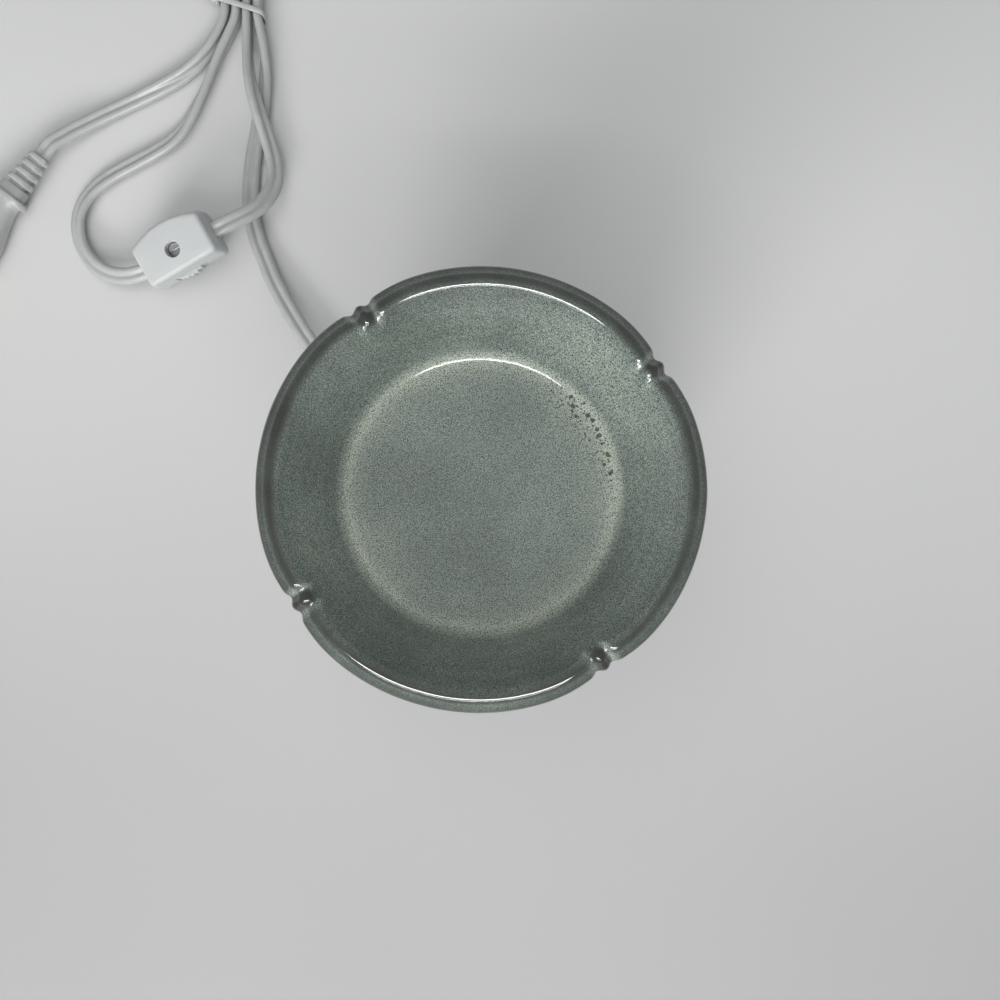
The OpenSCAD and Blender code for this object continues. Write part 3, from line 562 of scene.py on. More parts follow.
@dataclass
class SwitchPlace:
    """Where the in-line switch lies: its centre, its turn, the rise of its warmer end and its lean."""

    x: float = -121.5
    y: float = 103.6
    yaw: float = 27.0
    pitch: float = 12.0
    lean: float = 9.0
    length: float = 33.0
    width: float = 19.0
    height: float = 17.6
    draft: float = 2.25
    corner: float = 2.2
    bow: float = 3.0

    @property
    def z(self) -> float:
        """Height of the switch's centre when its lowest corner rests on the table."""
        lean, pitch = math.radians(self.lean), math.radians(self.pitch)
        along = (self.length - self.draft) / 2 - 0.6 - self.corner
        across = (self.width - self.draft) / 2 - 0.6 - self.corner
        rise = (math.sin(pitch), math.cos(pitch) * math.sin(lean))
        upright = self.height / 2 * math.cos(pitch) * math.cos(lean)
        return upright + along * rise[0] + across * rise[1] + self.corner * math.hypot(*rise)

    def matrix(self) -> Matrix:
        """Return the switch's own frame."""
        turn = Matrix.Rotation(math.radians(self.yaw), 4, "Z") @ Matrix.Rotation(math.radians(-self.pitch), 4, "Y")
        return Matrix.Translation((self.x, self.y, self.z)) @ turn @ Matrix.Rotation(math.radians(self.lean), 4, "X")

    def end(self, side: int, far: float) -> Vector:
        """Give a point on the switch's axis past one of its ends.

        Args:
            side: 1 for the warmer's end, -1 for the plug's.
            far: Distance past the end.

        Returns:
            The point.
        """
        return self.matrix() @ Vector((side * (self.length / 2 + far), 0.0, 0.0))


@dataclass
class PlugPlace:
    """Where the plug lies, and its own sizes along its axis."""

    x: float = -181.4
    y: float = 144.3
    z: float = 6.5
    heading: float = 233.0
    relief: float = 20.0
    collar: float = 3.0
    grip: float = 30.0

    def matrix(self) -> Matrix:
        """Return the plug's own frame, with +X towards its blades."""
        return Matrix.Translation((self.x, self.y, self.z)) @ Matrix.Rotation(math.radians(self.heading), 4, "Z")


RoutePoint = tuple[float, float, float, float]


@dataclass
class Lead:
    """The flat twin lead, in two lengths: warmer to switch, and switch to plug."""

    shop: Workshop
    finish: Finish
    switch: SwitchPlace
    plug: PlugPlace
    width: float = 7.0
    thick: float = 3.6
    step: float = 1.6
    strands: tuple[float, ...] = (-107.0, -102.4, -97.8, -93.2)
    lift: float = 1.0
    exit_angle: float = 138.0
    exit_reach: float = 74.5657
    exit_height: float = 7.0
    slack_r: float = 33.0
    turn_r: float = 28.0
    coil_r: float = 40.0
    coil_pitch: float = 4.5
    out_r: float = 29.0
    arc_y: float = 216.0
    bundle_y: float = 206.0

    def half(self, roll: float) -> float:
        """Height of the centre above the underside at a roll in degrees."""
        up, over = abs(math.sin(math.radians(roll))), math.cos(math.radians(roll))
        flat = self.thick / 2 * over + ((self.width - self.thick) / 2 + 0.5) * up
        return max(flat, self.width / 2 * up + self.thick / 5 * over)

    def exit_point(self, far: float) -> RoutePoint:
        """Give a route point on the line on which the lead leaves the strain relief."""
        angle = math.radians(self.exit_angle)
        reach = self.exit_reach + far
        return (reach * math.cos(angle), reach * math.sin(angle), self.exit_height - self.thick / 2, 0.0)

    def switch_point(self, side: int, far: float) -> RoutePoint:
        """Give a route point on the switch's axis."""
        place = self.switch.end(side, far)
        return (place.x, place.y, place.z - self.half(self.switch.lean), self.switch.lean)

    def from_body(self) -> list[RoutePoint]:
        """Route from the strain relief to the tie."""
        return [
            self.exit_point(0.0), self.exit_point(7.0),
            (-65, 60.5, 4.6, 0), (-71, 69, 4, 0), (-76.5, 77.5, 3.2, 0), (-81.5, 86, 2.4, 0),
            (-86, 94.5, 1.6, 0), (-89.5, 103, 0.8, 0), (-92.5, 110.5, 0.2, 0), (-94.5, 117.5, 0, 0),
            (-95.7, 124.5, 0, 0), (-96, 131.5, 0, 0), (-95.7, 138.5, 0, 5), (-95, 146, 0, 10),
            (-93.7, 154, 0, 12), (-92.4, 162.5, 0, 14), (-91.2, 171, 0, 24), (-90.4, 180, 0.1, 50),
            (-90.4, 188.5, 0.4, 75), (-91.4, 197, 0.8, 88),
            (self.strands[3], self.bundle_y, self.lift, 90), (self.strands[3], self.arc_y, self.lift, 90),
        ]

    def loop(self) -> list[RoutePoint]:
        """Route of the slack loop past the tie."""
        turn_c = (self.strands[3] + self.turn_r, self.arc_y)
        loop_c = (self.strands[2] + self.slack_r, self.arc_y + self.turn_r + self.slack_r)
        points = []
        for i in range(1, 7):
            a = math.radians(180 - 15 * i)
            points.append((turn_c[0] + self.turn_r * math.cos(a), turn_c[1] + self.turn_r * math.sin(a), self.lift, 90.0))
        for i in range(1, 19):
            a = math.radians(15 * i - 90)
            points.append((loop_c[0] + self.slack_r * math.cos(a), loop_c[1] + self.slack_r * math.sin(a), self.lift, 90.0))
        points.append((self.strands[2], loop_c[1] - 22, self.lift, 90.0))
        points.append((self.strands[2], loop_c[1] - 42, self.lift, 90.0))
        return points

    def to_switch(self) -> list[RoutePoint]:
        """Route from the tie back to the switch."""
        return [
            (self.strands[2], self.arc_y, self.lift, 90), (self.strands[2], self.bundle_y, self.lift, 90),
            (-97.6, 197.5, 1, 90), (-97.2, 189, 1.6, 85), (-96, 180, 3.6, 75), (-93.9, 171, 5.2, 60),
            (-91.3, 162.5, 5.4, 50), (-88.6, 154, 4, 42), (-86.3, 146.5, 3.2, 34), (-85, 139.5, 3.8, 26),
            (-85.1, 133.2, 5.4, 20), (-87, 127.4, 7.6, 16), (-90, 122.6, 9.8, 12), (-94, 118.8, 12, 10),
            (-98.5, 115.8, 13.6, 9),
            self.switch_point(1, 3.6), self.switch_point(1, 0.0),
        ]

    def from_switch(self) -> list[RoutePoint]:
        """Route from the switch to the tie."""
        return [
            self.switch_point(-1, 0.0),
            (-140.3, 94.9, 6.2, 12), (-144.8, 94.3, 5.2, 16), (-149.3, 94.7, 4.1, 21), (-153.6, 96.1, 3, 26),
            (-157.5, 98.4, 2, 31), (-160.9, 101.5, 1.1, 35), (-163.7, 105.3, 0.4, 38), (-165.8, 109.6, 0, 38),
            (-167, 115, 0, 38), (-166.9, 120.6, 0, 36), (-165.2, 126, 0, 32), (-162, 130.9, 0, 26),
            (-157.4, 135.4, 0, 20), (-151.6, 139.5, 0, 14), (-145, 143.3, 0, 12), (-138.4, 147, 0, 14),
            (-132.2, 150.7, 0, 20), (-127.4, 154.5, 0, 28), (-123.7, 159, 0, 38), (-120.4, 164.6, 0, 50),
            (-117.3, 171, 0, 60), (-114.4, 177.6, 0, 70), (-111.7, 184.2, 0.2, 78), (-108.7, 191.2, 0.4, 84),
            (-105.2, 198.4, 0.8, 89),
            (self.strands[1], self.bundle_y, self.lift, 90), (self.strands[1], self.arc_y, self.lift, 90),
        ]

    def coil(self) -> list[RoutePoint]:
        """Route round the stored coil: in on its lower layer, out on its upper one."""
        coil_x = self.strands[1] - self.coil_r
        out_x = self.strands[0] - self.out_r
        leave = -math.degrees(math.acos((out_x - coil_x) / (self.coil_r + self.out_r)))
        coil_y = self.arc_y + math.sqrt((self.coil_r + self.out_r) ** 2 - (out_x - coil_x) ** 2)
        climb = self.width + 0.6
        span = 1440.0 + leave
        count = round(span / 15.0)
        points = [(self.strands[1], self.arc_y + (coil_y - self.arc_y) * i / 4, self.lift, 90.0) for i in range(1, 5)]
        for i in range(1, count + 1):
            turned = span * i / count
            past = turned - span / 2
            r = self.coil_r - self.coil_pitch * (span / 2 - abs(past)) / 360.0
            up = self.lift + climb * min(1.0, max(0.0, (past + 90.0) / 180.0))
            a = math.radians(turned)
            points.append((coil_x + r * math.cos(a), coil_y + r * math.sin(a), up, 90.0))
        for i in range(1, 9):
            t = i / 8
            a = math.radians((180.0 + leave) * (1 - t))
            s = t * t * (3 - 2 * t)
            points.append((out_x + self.out_r * math.cos(a), self.arc_y + self.out_r * math.sin(a), self.lift + climb * (1 - s), 90.0))
        return points

    def to_plug(self) -> list[RoutePoint]:
        """Route from the tie to the plug."""
        heading = math.radians(self.plug.heading)
        rise = self.plug.z - self.thick / 2
        return [
            (self.strands[0], self.bundle_y, self.lift, 90),
            (-109.9, 198.6, 0.8, 88), (-113.8, 191.8, 0.4, 76), (-119, 185.7, 0.1, 56), (-125.6, 180.5, 0, 38),
            (-132.7, 176.4, 0, 20), (-140.1, 172.6, 0, 8), (-147.6, 168.8, 0.1, 0), (-155, 164.9, 0.6, 0),
            (-162, 160.8, 1.4, 0), (-168.4, 156.7, 2.6, 0), (-173.4, 153, 3.7, 0),
            (self.plug.x - 7 * math.cos(heading), self.plug.y - 7 * math.sin(heading), rise, 0),
            (self.plug.x, self.plug.y, rise, 0),
        ]

    def smooth(self, route: list[RoutePoint]) -> list[tuple[Vector, float]]:
        """Run one smooth curve through a route.

        Args:
            route: Points as x, y, height of the underside and roll.

        Returns:
            Centre and roll of each station along the curve.
        """
        known = [(Vector((x, y, up + self.half(roll))), roll) for x, y, up, roll in route]
        ends = ([(known[0][0] * 2 - known[1][0], known[0][1])], [(known[-1][0] * 2 - known[-2][0], known[-1][1])])
        padded = ends[0] + known + ends[1]
        stations: list[tuple[Vector, float]] = []
        for i in range(1, len(padded) - 2):
            (p0, _), (p1, r1), (p2, r2), (p3, _) = padded[i - 1:i + 3]
            reach = (p2 - p1).length
            count = max(1, round(reach / self.step))
            in_slope = (p2 - p0) / ((p2 - p1).length + (p1 - p0).length) * reach
            out_slope = (p3 - p1) / ((p3 - p2).length + (p2 - p1).length) * reach
            for k in range(count):
                t = k / count
                a, b = 2 * t ** 3 - 3 * t ** 2 + 1, t ** 3 - 2 * t ** 2 + t
                c, d = -2 * t ** 3 + 3 * t ** 2, t ** 3 - t ** 2
                stations.append((p1 * a + in_slope * b + p2 * c + out_slope * d, r1 + (r2 - r1) * t))
        stations.append(known[-1])
        return stations

    def section(self) -> list[tuple[float, float]]:
        """Outline of the flat lead: two round cores joined by a thinner web."""
        r = self.thick / 2
        off = self.width / 2 - r
        side = [(off + r * math.cos(a), r * math.sin(a)) for a in (math.radians(-144 + 24 * i) for i in range(13))]
        return side + [(-x, -y) for x, y in side]

    def tube(self, stations: list[tuple[Vector, float]]) -> bmesh.types.BMesh:
        """Sweep the lead's section along its stations.

        Args:
            stations: Centre and roll of each station.

        Returns:
            The closed tube.
        """
        outline = self.section()
        rings = []
        for i, (centre, roll) in enumerate(stations):
            ahead = stations[min(i + 1, len(stations) - 1)][0] - stations[max(i - 1, 0)][0]
            ahead.normalize()
            side = Vector((ahead.y, -ahead.x, 0.0)).normalized()
            above = side.cross(ahead)
            c, s = math.cos(math.radians(roll)), math.sin(math.radians(roll))
            rings.append([centre + side * (a * c - b * s) + above * (a * s + b * c) for a, b in outline])
        bm = bmesh.new()
        first = [bm.verts.new(p) for p in rings[0]]
        bm.faces.new(first)
        loop = first
        for ring in rings[1:]:
            edges = [bm.edges.get((a, b)) for a, b in zip(loop, loop[1:] + loop[:1])]
            grown = {v for v in bmesh.ops.extrude_edge_only(bm, edges=edges)["geom"] if isinstance(v, bmesh.types.BMVert)}
            loop = [next(e.other_vert(old) for e in old.link_edges if e.other_vert(old) in grown) for old in loop]
            for vert, place in zip(loop, ring):
                vert.co = place
        bm.faces.new(loop)
        return bm

    def length(self, stations: list[tuple[Vector, float]]) -> float:
        """Length along the stations in millimetres."""
        return sum((b[0] - a[0]).length for a, b in zip(stations, stations[1:]))

    def build(self, switch_pieces: list[object], plug_pieces: list[object]) -> None:
        """Args:
            switch_pieces: What makes up the switch; not used.
            plug_pieces: What makes up the plug; not used.
        """
        warmer_side = self.smooth(self.from_body() + self.loop() + self.to_switch())
        plug_side = self.smooth(self.from_switch() + self.coil() + self.to_plug())
        plans = (
            ("lead_warmer_to_switch", warmer_side, ("lead_from_body", "lead_loop", "lead_to_switch"), "fitting", "loose", switch_pieces),
            ("lead_switch_to_plug", plug_side, ("lead_from_switch", "lead_coil", "lead_to_plug"), "plug", "coiled", plug_pieces),
        )
        for name, stations, nodes, far_end, lay, pieces in plans:
            obj = self.shop.piece(name, self.tube(stations), self.finish, Body.BASE, nodes)
            hard_edges(obj, 60.0)
            self.length(stations) * MM
            log.info("%s is %.0f mm long", name, self.length(stations))


@dataclass
class Dish:
    """The melt dish: flat floor, flared wall and a rolled lip with four notches."""

    shop: Workshop
    glaze: Glaze
    across: float = 138.0
    floor_across: float = 88.0
    under: float = 88.3
    floor_thick: float = 5.0
    depth: float = 22.0
    lip: float = 6.4
    flare: float = 2.2
    fillet: float = 3.0
    sag: float = 0.25
    hollow: float = 1.2
    groove: float = 1.4
    spread: float = 4.8
    groove_sigma: float = 1.0
    bead_from: float = 60.6
    far_bead: float = 2.8
    draw: float = 1.2
    draw_sigma: float = 6.5
    reach: tuple[tuple[float, float], ...] = (
        (0.0, 0.9), (80.0, 0.9), (160.0, 0.4), (200.0, -0.3), (255.0, -1.1), (300.0, -1.3), (330.0, 0.0), (360.0, 0.9),
    )
    notches: tuple[float, ...] = (35.0, 124.0, 212.0, 305.0)
    seat_r: float = 49.0
    ring_r: float = 43.0
    ring_w: float = 4.5
    ring_h: float = 4.0
    turns: int = 600
    tones: tuple[tuple[float, float], ...] = (
        (0.0, 0.45), (32.0, 0.50), (38.5, 0.58), (41.0, 0.70), (43.2, 0.90), (45.2, 0.86), (46.8, 0.40), (50.0, 0.39),
        (57.0, 0.44), (60.0, 0.40), (61.6, 0.34), (62.8, 0.22), (64.0, 0.09), (65.1, 0.13), (66.3, 0.32), (67.4, 0.32), (68.2, 0.12), (69.2, 0.03),
    )

    def profile(self) -> list[tuple[float, float, float]]:
        """Outline from the middle of the floor over the lip to the middle of the underside.

        Returns:
            Radius, height and share of the lip's shaping of each point.
        """
        floor_z = self.under + self.floor_thick
        rim_z = floor_z + self.depth
        floor_r = self.floor_across / 2
        lip_r = self.across / 2
        r = self.lip / 2
        foot = (floor_r + self.fillet * 0.3, floor_z + self.fillet * 0.36)
        crest = (lip_r - self.flare - r, rim_z - r)
        turn = math.radians(140)
        head = (crest[0] + r * math.cos(turn), crest[1] + r * math.sin(turn))
        points = [(radius, floor_z, 0.0) for radius in (0.0, 8.0, 16.0, 24.0, 31.0, 37.0, 40.0)]
        start = (floor_r - self.fillet * 0.47, floor_z)
        bend = (floor_r, floor_z)
        for i in range(8):
            t = i / 8
            a, b, c = (1 - t) ** 2, 2 * t * (1 - t), t * t
            points.append((start[0] * a + bend[0] * b + foot[0] * c, start[1] * a + bend[1] * b + foot[1] * c, 0.0))
        for i in range(17):
            t = i / 16
            dip = self.sag * math.sin(math.pi * t)
            points.append((foot[0] + (head[0] - foot[0]) * t + dip, foot[1] + (head[1] - foot[1]) * t - dip, t ** 3))
        for i in range(1, 15):
            a = math.radians(140 - 105 * i / 14)
            points.append((crest[0] + r * math.cos(a), crest[1] + r * math.sin(a), 1.0))
        corners = [
            points[-1][:2], (lip_r - 0.7, rim_z - self.lip * 0.42), (lip_r, rim_z - self.lip * 0.69),
            (lip_r - 0.6, rim_z - self.lip * 0.92), (lip_r - 2.2, rim_z - self.lip * 0.92 - 1.3),
        ]
        for a, b, c in zip(corners, corners[1:], corners[2:]):
            for t in (0.25, 0.5, 0.75, 1.0):
                near = ((a[0] + b[0]) / 2, (a[1] + b[1]) / 2)
                far = ((b[0] + c[0]) / 2, (b[1] + c[1]) / 2)
                k = (1 - t) ** 2, 2 * t * (1 - t), t * t
                points.append((near[0] * k[0] + b[0] * k[1] + far[0] * k[2], near[1] * k[0] + b[1] * k[1] + far[1] * k[2], 1.0))
        side = (lip_r - 0.6, rim_z - self.lip * 0.92)
        heel = (self.seat_r + 1.5, self.under + 1.0)
        for i in range(2, 13):
            t = i / 12
            out = self.hollow * math.sin(math.pi * t)
            points.append((side[0] + (heel[0] - side[0]) * t - out, side[1] + (heel[1] - side[1]) * t + out, (1 - t) ** 2))
        ring_low = self.under - self.ring_h
        points += [(self.seat_r + 0.4, self.under + 0.25, 0.0), (self.seat_r - 0.5, self.under, 0.0)]
        points += [(self.ring_r + 0.2, self.under, 0.0), (self.ring_r, self.under - 0.2, 0.0)]
        points += [(self.ring_r, ring_low + 0.6, 0.0), (self.ring_r - 0.6, ring_low, 0.0)]
        points += [(self.ring_r - self.ring_w + 0.6, ring_low, 0.0), (self.ring_r - self.ring_w, ring_low + 0.6, 0.0)]
        points += [(self.ring_r - self.ring_w, self.under, 0.0), (20.0, self.under, 0.0), (0.0, self.under, 0.0)]
        return points

    def tone_at(self, radius: float) -> float:
        """Glaze depth at a radius of the upper side, from 0, thin, to 1, pooled."""
        for (r0, t0), (r1, t1) in zip(self.tones, self.tones[1:]):
            if radius <= r1:
                return t0 + (t1 - t0) * max(0.0, radius - r0) / (r1 - r0)
        return self.tones[-1][1]

    def reach_at(self, angle: float) -> float:
        """How far the lip reaches beyond its mean radius at an angle in degrees."""
        around = angle % 360.0
        for (a0, r0), (a1, r1) in zip(self.reach, self.reach[1:]):
            if around <= a1:
                return r0 + (r1 - r0) * (around - a0) / (a1 - a0)
        return self.reach[-1][1]

    def build(self) -> None:
        """Spin the dish, press its notches and dress it."""
        bm = bmesh.new()
        share = bm.verts.layers.float.new("lip_share")
        tone = bm.verts.layers.float.new("glaze_depth_and_painted_light")
        fleck = bm.verts.layers.float.new("glaze_fleck")
        points = self.profile()
        row = []
        top = max(range(len(points)), key=lambda i: points[i][0])
        for i, (r, z, w) in enumerate(points):
            vert = bm.verts.new((r, 0.0, z))
            vert[share] = w
            vert[tone] = self.tone_at(r) if i <= top else 0.34
            row.append(vert)
        edges = [bm.edges.new(pair) for pair in zip(row, row[1:])]
        bmesh.ops.spin(
            bm, geom=row + edges, cent=(0, 0, 0), axis=(0, 0, 1), dvec=(0, 0, 0), angle=2 * math.pi,
            steps=self.turns, use_merge=True, use_normal_flip=False, use_duplicate=False,
        )
        bmesh.ops.remove_doubles(bm, verts=bm.verts, dist=0.002)
        for vert in bm.verts:
            radius = math.hypot(vert.co.x, vert.co.y)
            angle = math.degrees(math.atan2(vert.co.y, vert.co.x))
            upper_right = math.exp(-(((angle - 44.0 + 180.0) % 360.0 - 180.0) / 34.0) ** 2)
            lower_right = math.exp(-((angle + 28.0) / 26.0) ** 2)
            top = math.exp(-((angle - 95.0) / 32.0) ** 2)
            left = math.exp(-(((angle - 190.0 + 180.0) % 360.0 - 180.0) / 32.0) ** 2)
            right_ring = math.exp(-(((angle - 22.0 + 180.0) % 360.0 - 180.0) / 30.0) ** 2 - ((radius - 42.0) / 2.4) ** 2)
            vert[fleck] = min(1.0, 0.18 + 0.45 * upper_right * min(1.0, radius / 45.0) + 0.8 * right_ring)
            on_wall = min(1.0, max(0.0, (radius - 46.0) / 5.0)) * min(1.0, max(0.0, (63.0 - radius) / 4.0))
            # Painted light and shade on the wall: lighter towards the upper right, the lower right and a little on the
            # left, darker towards the top, partly also the glaze's own variation. The lip is made darker towards the
            # left.
            if vert.co.z > self.under + self.floor_thick - 0.5:
                vert[tone] += (0.25 * upper_right + 0.12 * lower_right + 0.05 * left - 0.09 * top) * on_wall
                vert[tone] -= 0.10 * math.exp(-((abs(abs(angle) - 180.0)) / 55.0) ** 2) * min(1.0, max(0.0, (radius - 61.0) / 2.0))
            if vert[share] <= 0.0 or radius < 1.0:
                continue
            grooves, draw, bead, nearest = 0.0, 0.0, 0.0, 180.0
            for notch in self.notches:
                off = (angle - notch + 180.0) % 360.0 - 180.0
                pair = sum(math.exp(-((off + s * self.spread / 2) ** 2) / (2 * self.groove_sigma ** 2)) for s in (-1, 1))
                grooves = max(grooves, pair)
                draw = max(draw, math.exp(-off ** 2 / (2 * self.draw_sigma ** 2)))
                edge = self.bead_from + (self.far_bead if notch == self.notches[0] else 0.0)
                knob = min(1.0, max(0.0, (radius - edge) / 2.5))
                bead = max(bead, knob * math.exp(-off ** 2 / (2 * 1.25 ** 2)))
                nearest = min(nearest, abs(off))
            w = vert[share]
            cut = self.groove * grooves * w * w
            scale = 1.0 + (w * (self.reach_at(angle) - self.draw * draw) - 0.6 * cut + 0.35 * w * w * bead) / radius
            vert.co.x *= scale
            vert.co.y *= scale
            vert.co.z -= cut
            flank = math.exp(-((nearest - 3.0) ** 2) / (2 * 0.8 ** 2))
            lit = vert[tone] + w ** 4 * (0.40 * flank - 0.75 * bead)
            vert[tone] = min(1.0, max(0.0, lit))
        obj = self.shop.piece(
            "melt_dish", bm, None, Body.DISH, ("dish",), material=self.glaze.make(True), slot=self.glaze.slot
        )
        hard_edges(obj, 50.0)


@dataclass
class Switch:
    """The in-line rotary switch: two moulded halves round a grooved thumb wheel."""

    shop: Workshop
    finish: Finish
    place: SwitchPlace
    wheel_d: float = 22.8
    wheel_t: float = 5.0
    grooves: int = 30
    hub_d: float = 5.6
    hole_d: float = 3.2
    head_d: float = 6.2
    head_floor: float = 3.8
    nut_floor: float = -5.4

    def plan(self, inset: float) -> list[tuple[float, float]]:
        """Outline of a half seen from above, bowed on the side that hides the wheel.

        Args:
            inset: How far the outline lies inside the parting line.

        Returns:
            Its points, the same number at every inset.
        """
        r = self.place.corner
        x, y = self.place.length / 2 - inset - r, self.place.width / 2 - inset - r
        swell = [(x * t, y + self.place.bow * (1 - t * t)) for t in (0.7, 0.35, 0.0, -0.35, -0.7)]
        centres = [(x, -y), (x, y), *swell, (-x, y), (-x, -y)]
        outline: list[tuple[float, float]] = []
        for i, (cx, cy) in enumerate(centres):
            (px, py), (nx, ny) = centres[i - 1], centres[(i + 1) % len(centres)]
            start = math.atan2(cy - py, cx - px) - math.pi / 2
            turn = (math.atan2(ny - cy, nx - cx) - math.pi / 2 - start) % (2 * math.pi)
            arc = [(cx + r * math.cos(start + turn * k / 8), cy + r * math.sin(start + turn * k / 8)) for k in range(9)]
            steps = 40 if i == len(centres) - 1 else 3
            goal = (nx + r * math.cos(start + turn), ny + r * math.sin(start + turn))
            last = arc[-1]
            outline += arc
            outline += [
                (last[0] + (goal[0] - last[0]) * k / steps, last[1] + (goal[1] - last[1]) * k / steps)
                for k in range(1, steps)
            ]
        return outline

    def ring(self, inset: float, z: float, slotted: bool = False) -> list[Vector]:
        """One level of a half, with the wheel's slot pressed in where asked."""
        half_slot = 7.1
        points = []
        for x, y in self.plan(inset):
            in_slot = slotted and y < 0 and abs(x) < half_slot
            points.append(Vector((x, -7.6 if in_slot else y, z)))
        return points

    def bore(self, diameter: float, z: float) -> list[Vector]:
        """A circle at a level, with points at the outline's own bearings."""
        bearings = [math.atan2(y, x) for x, y in self.plan(0.0)]
        return [Vector((diameter / 2 * math.cos(a), diameter / 2 * math.sin(a), z)) for a in bearings]

    def half(self, side: int) -> bmesh.types.BMesh:
        """Mould one half.

        Args:
            side: 1 for the cover, -1 for the base.
        """
        top = self.place.height / 2
        edge = 1.8
        draft = self.place.draft / 2
        slot = self.wheel_t / 2 + 0.3
        rings = [self.ring(0.25, 0.02, True), self.ring(0.0, 0.25, True), self.ring(0.05, slot, True), self.ring(0.05, slot)]
        rings += [self.ring(0.1, slot + 0.25), self.ring(0.3, 4.0)]
        for i in range(7):
            a = math.radians(15 * i)
            inset = draft + edge * (1 - math.cos(a)) - 0.4
            rings.append(self.ring(inset, top - edge * (1 - math.sin(a))))
        floor = self.head_floor if side > 0 else -self.nut_floor
        rings += [self.bore(self.head_d + 0.5, top), self.bore(self.head_d, top - 0.25), self.bore(self.head_d, floor)]
        rings += [self.bore(self.hole_d, floor), self.bore(self.hole_d, 0.02)]
        turned = [[Vector((p.x, p.y, side * p.z)) for p in ring] for ring in rings]
        bm = loft(turned, closed=True)
        bmesh.ops.transform(bm, matrix=self.place.matrix(), verts=bm.verts)
        return bm

    def wheel(self) -> bmesh.types.BMesh:
        """Turn the thumb wheel with its grooves."""
        outer, half = self.wheel_d / 2, self.wheel_t / 2
        count = self.grooves * 12
        turns = [2 * math.pi * i / count for i in range(count)]
        pitch = 2 * math.pi / self.grooves

        def rim(radius: float, z: float, depth: float) -> list[Vector]:
            points = []
            for a in turns:
                off = ((a + pitch / 2) % pitch - pitch / 2) * outer / 0.62
                r = radius - depth * max(0.0, 1.0 - off * off) ** 0.5
                points.append(Vector((r * math.cos(a), r * math.sin(a), z)))
            return points

        bore = self.hub_d / 2 + 0.05
        rings = [rim(bore, -half, 0.0), rim(outer - 1.6, -half, 0.0), rim(outer - 0.5, -half, 0.3), rim(outer, 0.5 - half, 0.45)]
        rings += [rim(outer, half - 0.5, 0.45), rim(outer - 0.5, half, 0.3), rim(outer - 1.6, half, 0.0), rim(bore, half, 0.0)]
        bm = loft(rings, closed=True)
        bmesh.ops.transform(bm, matrix=self.place.matrix(), verts=bm.verts)
        return bm

    def build(self) -> list[bpy.types.Object]:
        """Build both halves and the wheel."""
        plans = (
            ("switch_cover_half", self.half(1), Body.BASE, "switch_cover"),
            ("switch_base_half", self.half(-1), Body.BASE, "switch_base"),
            ("switch_thumb_wheel", self.wheel(), Body.WHEEL, "thumb_wheel"),
        )
        made = []
        for name, bm, body, node in plans:
            obj = self.shop.piece(name, bm, self.finish, body, (node,))
            hard_edges(obj, 40.0)
            made.append(obj)
        return made


@dataclass
class Plug:
    """The moulded plug: ribbed relief, collar and flared grip."""

    shop: Workshop
    finish: Finish
    place: PlugPlace
    ribs: int = 5

    def build(self) -> bpy.types.Object:
        """Mould the plug along its axis."""
        relief, collar, grip = self.place.relief, self.place.collar, self.place.grip
        pitch = relief / self.ribs
        sections = [(0.0, 7.4, 5.8, 2.4), (0.3, 8.4, 6.6, 2.7)]
        for i in range(1, self.ribs):
            share = (pitch * i) / relief
            width, height = 8.4 + 3.2 * share, 6.6 + 2.0 * share
            start = pitch * i - 1.6
            sections += [(start - 0.3, width, height, 3.0), (start, width - 0.5, height - 0.5, 2.9)]
            sections += [(start + 0.1, 7.4, 4.8, 2.2), (start + 1.4, 7.4, 4.8, 2.2)]
            sections += [(start + 1.5, width - 0.4, height - 0.4, 2.9), (start + 1.8, width + 0.1, height + 0.1, 3.0)]
        head = relief + collar
        sections += [(relief - 0.5, 11.7, 8.7, 3.2), (relief, 11.7, 8.7, 3.2), (relief, 14.6, 10.8, 4.0), (relief + 0.3, 15.9, 11.7, 4.3)]
        sections += [(relief + 0.8, 16.4, 12.0, 4.5), (head - 0.6, 16.4, 12.0, 4.5), (head - 0.2, 15.9, 11.6, 4.3), (head, 14.8, 11.0, 4.0)]
        sections += [(head, 12.5, 10.0, 4.0), (head + 0.3, 12.2, 9.9, 3.9)]
        for i in range(1, 13):
            t = i / 12
            swell = t * t * (3 - 2 * t)
            sections.append((head + 0.3 + (grip - 5.3) * t, 12.2 + 11.8 * swell, 9.9 + 3.1 * swell, 3.9 + 0.1 * t))
        face = head + grip
        sections += [(face - 1.6, 24.0, 13.0, 4.0), (face - 0.8, 23.6, 12.6, 3.9), (face - 0.25, 22.8, 11.8, 3.6), (face, 21.6, 10.8, 3.2)]
        bm = loft([round_box(*section) for section in sections])
        bmesh.ops.transform(bm, matrix=self.place.matrix(), verts=bm.verts)
        obj = self.shop.piece("plug_moulding", bm, self.finish, Body.BASE, ("plug_body",))
        hard_edges(obj, 50.0)
        return obj


